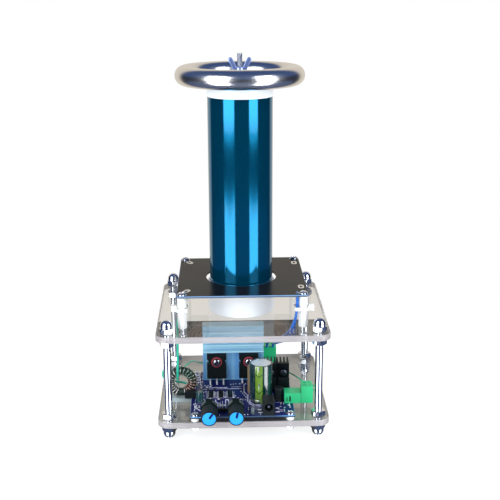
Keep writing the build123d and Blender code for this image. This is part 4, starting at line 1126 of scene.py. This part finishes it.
def buildRegulators(s):
    a, b = box("regulators")
    tab = box("regulator_tabs")[1]
    places = (a[0] + s["inset"], b[0] - s["inset"])
    screws = [panScrew(s["screwLong"], (x, tab[1] - s["screwIn"], tab[2] - s["screwDrop"]), (0, -1, 0),
                       15 + 3 * x) for x in places]
    addPiece("tabScrews", screws, "darkSteel", ["device_screws"])
    block = softBlock(s["wide"], b[2] - a[2], b[1] - a[1], s["corner"], s["edge"])
    bodies = [gridPart(standing(block, (x, b[1], (a[2] + b[2]) / 2))) for x in places]
    addPiece("regulatorBodies", bodies, "blackEpoxy", ["regulators"])
    a, b = box("regulator_heat_sinks")
    fins = [slab(offsetLoop(finnedSection(s, x, a[1], b[1])), [], a[2], b[2], s["bevel"])
            for x in (a[0] + s["sinkWide"] / 2, b[0] - s["sinkWide"] / 2)]
    addPiece("regulatorSinks", fins, ["blackAnodised"] * 2, ["regulator_heat_sinks"],
             sharp=28)


# latch slots in the side terminal's front wall: place from its lower right corner, width and height
latchSlots = [(-8.6, 3.8, 1.2, 4.6), (-11.0, 3.6, 0.7, 3.4)]


def buildLatchSlots():
    low, high = box("terminal_headers")
    front = box("side_plug")[0][1] + 0.02
    slots = [gridPart(standing(softBlock(wide, tall, 0.06, 0.3, 0.02), (high[0] + x, front, low[2] + z)))
             for x, z, wide, tall in latchSlots]
    addPiece("latchSlots", slots, "blackMould")


# upright parts: sleeves, cases and a lens
can = {"bead": 0.55, "lip": 1.25, "lipIn": 0.05, "vent": 0.22, "ventWide": 0.3, "ventReach": 0.62,
       "ventTurn": 0.5, "dome": 0.16, "topAt": 0.42, "topFoot": 0.8, "rings": 22, "turns": 96}


def buildReservoir(c):
    low = box("reservoir_capacitor")[0]
    x, y, _ = middle("reservoir_capacitor")
    r, tall = size("reservoir_capacitor")[0] / 2, size("reservoir_capacitor")[2]
    profile = rounded([(0, 0, 0), (r - 0.5, 0, 0.3), (r, 0.6, 0.3), (r, 2.1, 0.5), (r - c["bead"], 3.0, 0.8),
                       (r, 3.9, 0.5), (r, tall - 0.5, 0.3), (r - 0.4, tall, 0.3), (r - c["lip"], tall, 0.2),
                       (r - c["lip"] - 0.1, tall - 0.7, 0.1), (0, tall - 0.7, 0)], 5)
    addPiece("sleevedCan", [lathed(profile, c["turns"], (x, y, low[2]))], "capacitorSleeve",
             ["reservoir_capacitor"])
    # metal top: a shallow dome with a cross of pressed vent lines
    outer = r - c["lip"] - c["lipIn"]
    rings = np.linspace(0, outer, c["rings"])[:, None]
    angle = np.arange(c["turns"]) * 2 * pi / c["turns"] + c["ventTurn"]
    across, along = rings * np.cos(angle), rings * np.sin(angle)
    press = np.maximum(*(np.exp(-(off / c["ventWide"]) ** 2) for off in (across, along)))
    press = press * (rings < r * c["ventReach"])
    lift = tall - c["topAt"] + c["dome"] * (1 - (rings / r) ** 2) - c["vent"] * press
    edge = lathe([(outer, tall - c["topFoot"]), (0, tall - c["topFoot"])], c["turns"], c["ventTurn"])
    top = np.concatenate([np.stack([across, along, lift], 2), edge])
    addPiece("canTop", [gridPart(turned(top, (x, y, low[2])))], "brightAluminium", ["capacitor_top"])


def smallCanRows(r, tall):
    # beaded foot and a rolled lip
    return [(0, 0, 0), (r - 0.3, 0, 0.1), (r, 0.4, 0.1), (r, 1.2, 0.2), (r - 0.25, 1.6, 0.2), (r, 2.0, 0.2),
            (r, tall - 0.3, 0.2), (r - 0.3, tall, 0.2), (r - 0.8, tall, 0), (r - 0.8, tall - 0.2, 0),
            (0, tall - 0.2, 0)]


def drumRows(r, tall):
    # two flanges with the turns' case between them, and a dimple on top
    return [(0, 0, 0), (r, 0, 0.3), (r, 1.6, 0.2), (r - 0.6, 2.0, 0.2), (r - 0.6, tall - 2.0, 0.2),
            (r, tall - 1.6, 0.2), (r, tall, 0.4), (1.0, tall, 0.1), (1.0, tall - 0.6, 0), (0, tall - 0.6, 0)]


def lensRows(r, tall):
    # flange below, then a barrel with a domed end
    barrel = r - 0.45
    return [(0, 0, 0), (r, 0, 0.15), (r, 0.9, 0.15), (barrel, 0.9, 0.1), (barrel, tall, 1.45), (0, tall, 0)]


film = {"corner": 1.6, "edge": 1.0, "steps": 5}
chip = {"wide": 3.9, "deep": 9.9, "soft": 0.2, "pitch": 7.9, "dot": (-1.2, -4.0), "dotD": 0.9,
        "dotHigh": 0.05}


def chipPlaces():
    low, high = box("control_chips")
    y, half = middle("control_chips")[1], chip["wide"] / 2
    return [(low[0] + half, y), (low[0] + half + chip["pitch"], y), (high[0] - half, y)]


def buildUpright(name, node, rows, steps, turns, finish):
    x, y, _ = middle(node)
    profile = rounded(rows(size(node)[0] / 2, size(node)[2]), steps)
    addPiece(name, [lathed(profile, turns, (x, y, box(node)[0][2]))], finish, [node])


def buildFilm(f):
    x, y, _ = middle("film_capacitor")
    block = softBlock(*size("film_capacitor"), f["corner"], f["edge"], x, y, box("film_capacitor")[0][2],
                      f["steps"])
    addPiece("filmBlock", [gridPart(block)], "filmCase", ["film_capacitor"])


def buildChips(c):
    low, high = box("control_chips")
    tall, soft = high[2] - low[2], c["soft"]
    blocks = [gridPart(softBlock(c["wide"], c["deep"], tall, soft, soft, x, y, low[2]))
              for x, y in chipPlaces()]
    addPiece("blackChips", blocks, "blackEpoxy", ["control_chips"])
    dots = [solderDome(x + c["dot"][0], y + c["dot"][1], high[2] - 0.02, c["dotD"], c["dotHigh"])
            for x, y in chipPlaces()]
    addPiece("chipDots", dots, "resistorGlaze")


# knobs: fluted skirt round a bright face with a pointer bar let into it
knob = {"bore": 3.05, "flutes": 30, "deep": 0.28, "around": 240, "recess": 1.2, "capR": 5.17,
        "capThick": 1.15, "capDome": 1.25, "capSink": 1.4, "pointerWide": 1.7, "pointerLong": 4.9,
        "pointerThick": 0.16, "pointerGap": 0.2, "pointerSink": 0.2, "turn": {"left": 35.0, "right": 13.0}}


def skirtGrid(k, r, length):
    # the share says how much of the flutes' depth a row has
    angle = np.arange(k["around"]) * 2 * pi / k["around"]
    flutes = k["deep"] * np.abs(np.sin(angle * k["flutes"] / 2)) ** 1.5
    floor = length - k["recess"]
    rows = [(0, 0, 0), (k["bore"], 0, 0), (r - 0.5, 0, 0), (r, 0.5, 0.2), (r, 1.0, 1), (r, length - 2.2, 1),
            (r, length - 1.6, 0.3), (r, length - 0.5, 0), (r - 0.15, length - 0.15, 0), (r - 0.45, length, 0),
            (k["capR"], length, 0), (k["capR"], floor, 0), (0, floor, 0)]
    grid = []
    for reach, level, share in rows:
        reach = reach - share * flutes
        grid.append(np.stack([reach * np.cos(angle), reach * np.sin(angle), np.full(k["around"], level)], 1))
    return np.array(grid)


def buildKnob(side, k):
    body = side + "_knob"
    low, high = box(body)
    x, _, z = middle(body)
    skirt = skirtGrid(k, (high[0] - low[0]) / 2, high[1] - low[1])
    addPiece(side + "KnobSkirt", [gridPart(turned(skirt, (x, high[1], z), (0, -1, 0)))], "knobBlack",
             [body], body, sharp=30)
    face = rounded([(0, 0, 0), (k["capR"], 0, 0), (k["capR"], k["capThick"], 0.3), (0, k["capDome"], 0)], 5)
    addPiece(side + "KnobFace", [lathed(face, 96, (x, low[1] + k["capSink"], z), (0, -1, 0))], "knobBlue",
             [body + "_cap"], body)
    bar = softBlock(k["pointerWide"], k["pointerLong"], k["pointerThick"], k["pointerWide"] * 0.45, 0.06,
                    0, k["pointerLong"] / 2 + k["pointerGap"], 0, 4)
    bar = standing(turned(bar, spin=-k["turn"][side]), (x, low[1] + k["pointerSink"], z))
    addPiece(side + "Pointer", [gridPart(bar)], "pointerInk", body=body)


# core and leads: the routes are the solids' own, in millimetres
core = {"middle": (-48.9, -25.0), "major": 9.15, "turnR": 3.65, "wire": 1.0, "turns": 22, "start": -75.0,
        "sweep": 330.0, "steps": 28, "ringR": 3.0, "ringSteps": 28, "ringTurns": 96}
leads = {
    "ring": {"d": 1.8, "points": [
        (-43.2, -40.6, 110.5), (-43.2, -40.6, 103), (-47, -40.4, 96), (-50, -41, 89), (-50.2, -41, 76),
        (-50.6, -39.6, 60), (-51, -37.6, 46), (-51.6, -31, 36.5), (-52.2, -22.5, 33), (-54.5, -15.5, 36),
        (-60.5, -14.6, 40), (-64.6, -17, 36.6), (-63, -18.6, 31), (-57, -15, 28), (-49, -12, 25.4),
        (-42, -11, 22.4), (-36.5, -10.6, 21.5)]},
    "sense": {"d": 1.2, "from": (40.4, -20.0, 30.0), "to": (59.0, -33.4, 29.0), "points": [
        (-45.4, -25.4, 45.6), (-42.6, -18, 45.6), (-38.6, -6, 41.6), (-36.6, 5.6, 35), (-27, 9, 32),
        (-8, 8.4, 31), (10, 8.2, 30.4), (24, 7, 29.6), (34, 2, 29), (40.4, -8, 29.6), (44.4, -18, 31),
        (48.4, -27.4, 31), (55, -31.6, 30), (61, -34, 28.8), (61.2, -37, 27.8), (55.2, -37.06, 27.7)]},
    "left": {"d": 2.0, "from": (34.4, -36.0, 74.0), "to": (24.4, 17.0, 49.0), "points": [
        (21.86, 19.5, 42), (21.86, 19.5, 46.2), (24.6, 10.5, 51.2), (27.4, 0, 56), (29.6, -11, 61),
        (31.6, -22, 67.2), (33.4, -34, 74), (35.6, -44.4, 80.4), (38.6, -46.9, 87.5), (41.5, -46.9, 97.5),
        (41.5, -46.9, 110.5)]},
    "right": {"d": 2.0, "points": [
        (26.94, 19.5, 42), (26.94, 19.5, 45.4), (28.4, 9.5, 49.2), (30.4, -1, 54.4), (32.4, -12.5, 59.6),
        (34.4, -23.5, 65.6), (36.2, -34.5, 72.4), (38, -43.2, 79.4), (39.8, -44.6, 87), (41.4, -44.5, 97.5),
        (41.4, -44.5, 110.5)]},
}


def buildCore(c):
    # one wire winds round the ring's section while it goes round the ring
    x, y = c["middle"]
    z = middle("current_core")[2]
    wrap = np.arange(c["turns"] * c["steps"] + 1) * 2 * pi / c["steps"]
    around = radians(c["start"]) + radians(c["sweep"]) * wrap / (2 * pi * c["turns"])
    reach = c["major"] + c["turnR"] * np.cos(wrap)
    path = np.stack([x + reach * np.cos(around), y - c["turnR"] * np.sin(wrap),
                     z + reach * np.sin(around)], 1)
    addPiece("enamelTurns", [closedTube(path, c["wire"] / 2, 10)], "coreEnamel",
             ["core_winding"], sharp=60, uv=True)
    section = circleLoop(c["major"], 0, 2 * c["ringR"], c["ringSteps"])
    addPiece("ferriteRing", [lathed(section, c["ringTurns"], (x, y, z), (0, -1, 0), True)], "ferriteGreen",
             ["current_core"])


def smoothRoute(points, steps=10):
    # quadratic pieces between the middles of the runs, each corner being the control point
    points = [np.asarray(p, float) for p in points]
    out = [points[0]]
    for index in range(1, len(points) - 1):
        first = points[0] if index == 1 else (points[index - 1] + points[index]) / 2
        last = points[-1] if index == len(points) - 2 else (points[index] + points[index + 1]) / 2
        for t in np.linspace(0, 1, steps + 1)[1:]:
            out.append((1 - t) ** 2 * first + 2 * t * (1 - t) * points[index] + t * t * last)
    return np.array(out)


def leadCurve(name, item, finish):
    # open NURBS curve with a round section
    curve = bpy.data.curves.new(name, "CURVE")
    curve.dimensions = "3D"
    curve.bevel_depth = item["d"] / 2 * mm
    curve.bevel_resolution = 4
    curve.use_fill_caps = True
    curve.resolution_u = 10
    spline = curve.splines.new("NURBS")
    spline.points.add(len(item["points"]) - 1)
    for point, place in zip(spline.points, item["points"]):
        point.co = (*(c * mm for c in place), 1)
    spline.order_u = 3
    spline.use_endpoint_u = True
    curve.materials.append(finishes[finish].material)
    piece = bpy.data.objects.new(name, curve)
    bpy.context.scene.collection.objects.link(piece)
    return piece


def buildLeads():
    # the ring's lead keeps still with the chassis; the others are baked in place without a body
    ringLead = leadCurve("tealLead", leads["ring"], "tealWire")
    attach(ringLead, "chassis")
    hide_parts("ring_lead")
    for name, keys, sides, finish, node, slot, plug in (
            ("greenLead", ["sense"], 12, "greenWire", "sense_lead", "lead_dark", "side_plug"),
            ("blueLeads", ["left", "right"], 14, "blueWire", "coil_leads", "lead_blue", "rear_plug")):
        tubes = [closedTube(smoothRoute(leads[key]["points"]), leads[key]["d"] / 2, sides) for key in keys]
        lead = addPiece(name, tubes, finish, [node], None, sharp=60, uv=True)
        start, end = (tuple(c * mm for c in leads[keys[0]][key]) for key in ("from", "to"))
        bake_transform(lead)
        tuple(start)
        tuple(end)


# solids that are right as they are take their finish only
solidFinishes = {
    "formTube": ["coil_form"], "padFoam": ["core_pad"], "copperTrack": ["primary_trace"],
    "nylonWhite": ["cable_ties"], "tinLegs": ["component_legs"], "goldPad": ["connector_pins"],
    "resistorGlaze": ["chip_resistors"], "blackAnodised": ["regulator_tabs"], "dullBlack": ["potentiometers"],
    "blackMould": ["board_connectors", "power_jack"],
    "terminalGreen": ["terminal_headers", "side_plug", "rear_plug"],
    "zincSteel": ["tower_screw", "tower_nuts", "left_shaft", "right_shaft", "power_jack_pin",
                  "side_plug_screws", "rear_plug_screws"],
}


def dressSolids():
    for finish, names in solidFinishes.items():
        for name in names:
            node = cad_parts[name]
            if not node.material_slots:
                node.data.materials.append(None)
            for place in node.material_slots:
                place.material = finishes[finish].material


buildPlates(plates)
buildColumns(columns)
buildDomedNuts(columns)
print("frame built")
buildCollar(collar)
buildWinding(winding)
buildCap(cap)
buildRing(ring)
buildStud(stud)
buildWingNut(wing)
print("tower built")
buildBlackBoard(boards)
buildDriverBoard(boards)
buildPrints(prints)
buildFittings(fitting)
buildFasteners(fasteners)
print("boards built")
buildSink(sink)
buildDevices(power)
buildRegulators(regulator)
buildLatchSlots()
print("power stage built")
buildReservoir(can)
buildUpright("smallCan", "small_capacitor", smallCanRows, 4, 48, "smallSleeve")
buildUpright("drumChoke", "filter_choke", drumRows, 4, 56, "blackMould")
buildFilm(film)
buildUpright("clearLamp", "indicator_led", lensRows, 10, 40, "clearLens")
buildChips(chip)
print("uprights built")
for side in ("left", "right"):
    buildKnob(side, knob)
print("knobs built")
buildCore(core)
buildLeads()
print("leads built")
dressSolids()
print("solids dressed")


# studio: two tall softboxes in a dark room, a bright warm backdrop behind, a pale floor
softboxes = {"softboxLeft": {"azimuth": -41, "wide": 740, "power": 12.7},
             "softboxRight": {"azimuth": 46, "wide": 610, "power": 10.4}}
softbox = {"distance": 1050, "tall": 1080, "high": 610, "tint": (0.95, 0.98, 1.0)}
room = {"backdrop": (0.78, 0.72, 0.63), "wall": (0.014, 0.020, 0.042), "ceiling": (0.045, 0.085, 0.22),
        "fill": (0.70, 0.73, 0.78), "behindPlates": (0.82, 0.79, 0.745), "edge": (0.52, 0.72),
        "ceilingFrom": 0.42, "open": (1.0, 1.0, 1.0)}
table = {"wide": 1500, "low": -800, "high": 196, "white": (0.92, 0.92, 0.92), "glow": 0.30, "shown": 0.72,
         "fade": (160, 400), "near": (0.40, 0.385, 0.335), "far": (0.06, 0.055, 0.045), "farFrom": (50, 120),
         "lip": 9, "lipTone": (0.004, 0.004, 0.003), "shade": (0.015, 0.03, 0.04), "direct": 0.6,
         "mirror": (0.78, 0.78, 0.78)}
black = (0, 0, 0)


def addSoftbox(name, item, s):
    turn = radians(item["azimuth"])
    place = Vector((s["distance"] * sin(turn), -s["distance"] * cos(turn), s["high"])) * mm
    light = bpy.data.lights.new(name, "AREA")
    light.shape = "RECTANGLE"
    light.size = item["wide"] * mm
    light.size_y = s["tall"] * mm
    light.energy = item["power"]
    light.color = s["tint"]
    lamp = bpy.data.objects.new(name, light)
    inwards = Vector((-place.x, -place.y, 0))
    lamp.matrix_world = Matrix.Translation(place) @ inwards.to_track_quat("-Z", "Y").to_matrix().to_4x4()
    bpy.context.scene.collection.objects.link(lamp)


def addRoom(s):
    # what a surface mirrors, what fills its shadows, and what shows behind it
    world = bpy.data.worlds.new("studioWorld")
    world.use_nodes = True
    bpy.context.scene.world = world
    sheet = NodeSheet(world.node_tree)
    x, depth, high = sheet.axes("Generated")
    dark = sheet.mix(high.ease(0.0, s["ceilingFrom"]), s["wall"], s["ceiling"])
    mirrored = sheet.mix(depth.ease(*s["edge"]), dark, s["backdrop"])
    color = sheet.mix(sheet.rays("Is Diffuse Ray"), mirrored, s["fill"])
    shown = sheet.mix(sheet.rays("Transparent Depth") > 0.5, s["open"], s["behindPlates"])
    color = sheet.mix(sheet.rays("Is Camera Ray"), color, shown)
    world.node_tree.links.new(color.socket, world.node_tree.nodes["Background"].inputs["Color"])


def tablePaper(s):
    # white to the camera, a near and a far tone through the plates with a painted shadow under the driver
    # board, and glossy in mirrors
    paper = Finish("palePaper", emissionStrength=1.0)
    x, y, z = paper.place()
    fade = ((x * x + y * y) ** 0.5).ease(*(reach * mm for reach in s["fade"]))
    glossy, direct = paper.rays("Is Glossy Ray"), paper.rays("Is Camera Ray")
    through = paper.rays("Transparent Depth") > 0.5
    tone = paper.mix(y.ease(*(reach * mm for reach in s["farFrom"])), s["near"], s["far"])
    tone = paper.mix(y > (s["high"] - s["lip"]) * mm, tone, s["lipTone"])
    # painted shadow: the table darkens under the driver board
    low, high = box("driver_board") * mm
    under = ((x - low[0]).ease(0, 8 * mm) & (high[0] - x).ease(0, 8 * mm)
             & (y - low[1]).ease(0, 6 * mm) & (high[1] - y).ease(0, 30 * mm))
    tone = paper.mix(under, tone, s["shade"])
    seen = paper.mix(through, paper.mix(fade | (direct * s["direct"]), s["white"], black), tone)
    lit = paper.mix(direct, (s["glow"],) * 3, (s["shown"],) * 3)
    glow = paper.mix(through, paper.mix(fade, lit, room["open"]), black)
    return paper.set(baseColor=paper.mix(glossy, seen, s["mirror"]), metallic=glossy * 0.95,
                     roughness=0.7 - 0.6 * glossy, emissionColor=paper.mix(glossy, glow, black))


def addTable(s):
    half = s["wide"] / 2
    outline = [(-half, s["low"]), (half, s["low"]), (half, s["high"]), (-half, s["high"])]
    mesh = bpy.data.meshes.new("paleTable")
    mesh.from_pydata([(x * mm, y * mm, 0) for x, y in outline], [], [(0, 1, 2, 3)])
    mesh.materials.append(tablePaper(s).material)
    floor = bpy.data.objects.new("paleTable", mesh)
    bpy.context.scene.collection.objects.link(floor)


addCamera(cameraView)
for name, item in softboxes.items():
    addSoftbox(name, item, softbox)
addRoom(room)
addTable(table)
bpy.context.scene.view_settings.view_transform = "Standard"
print("studio built")
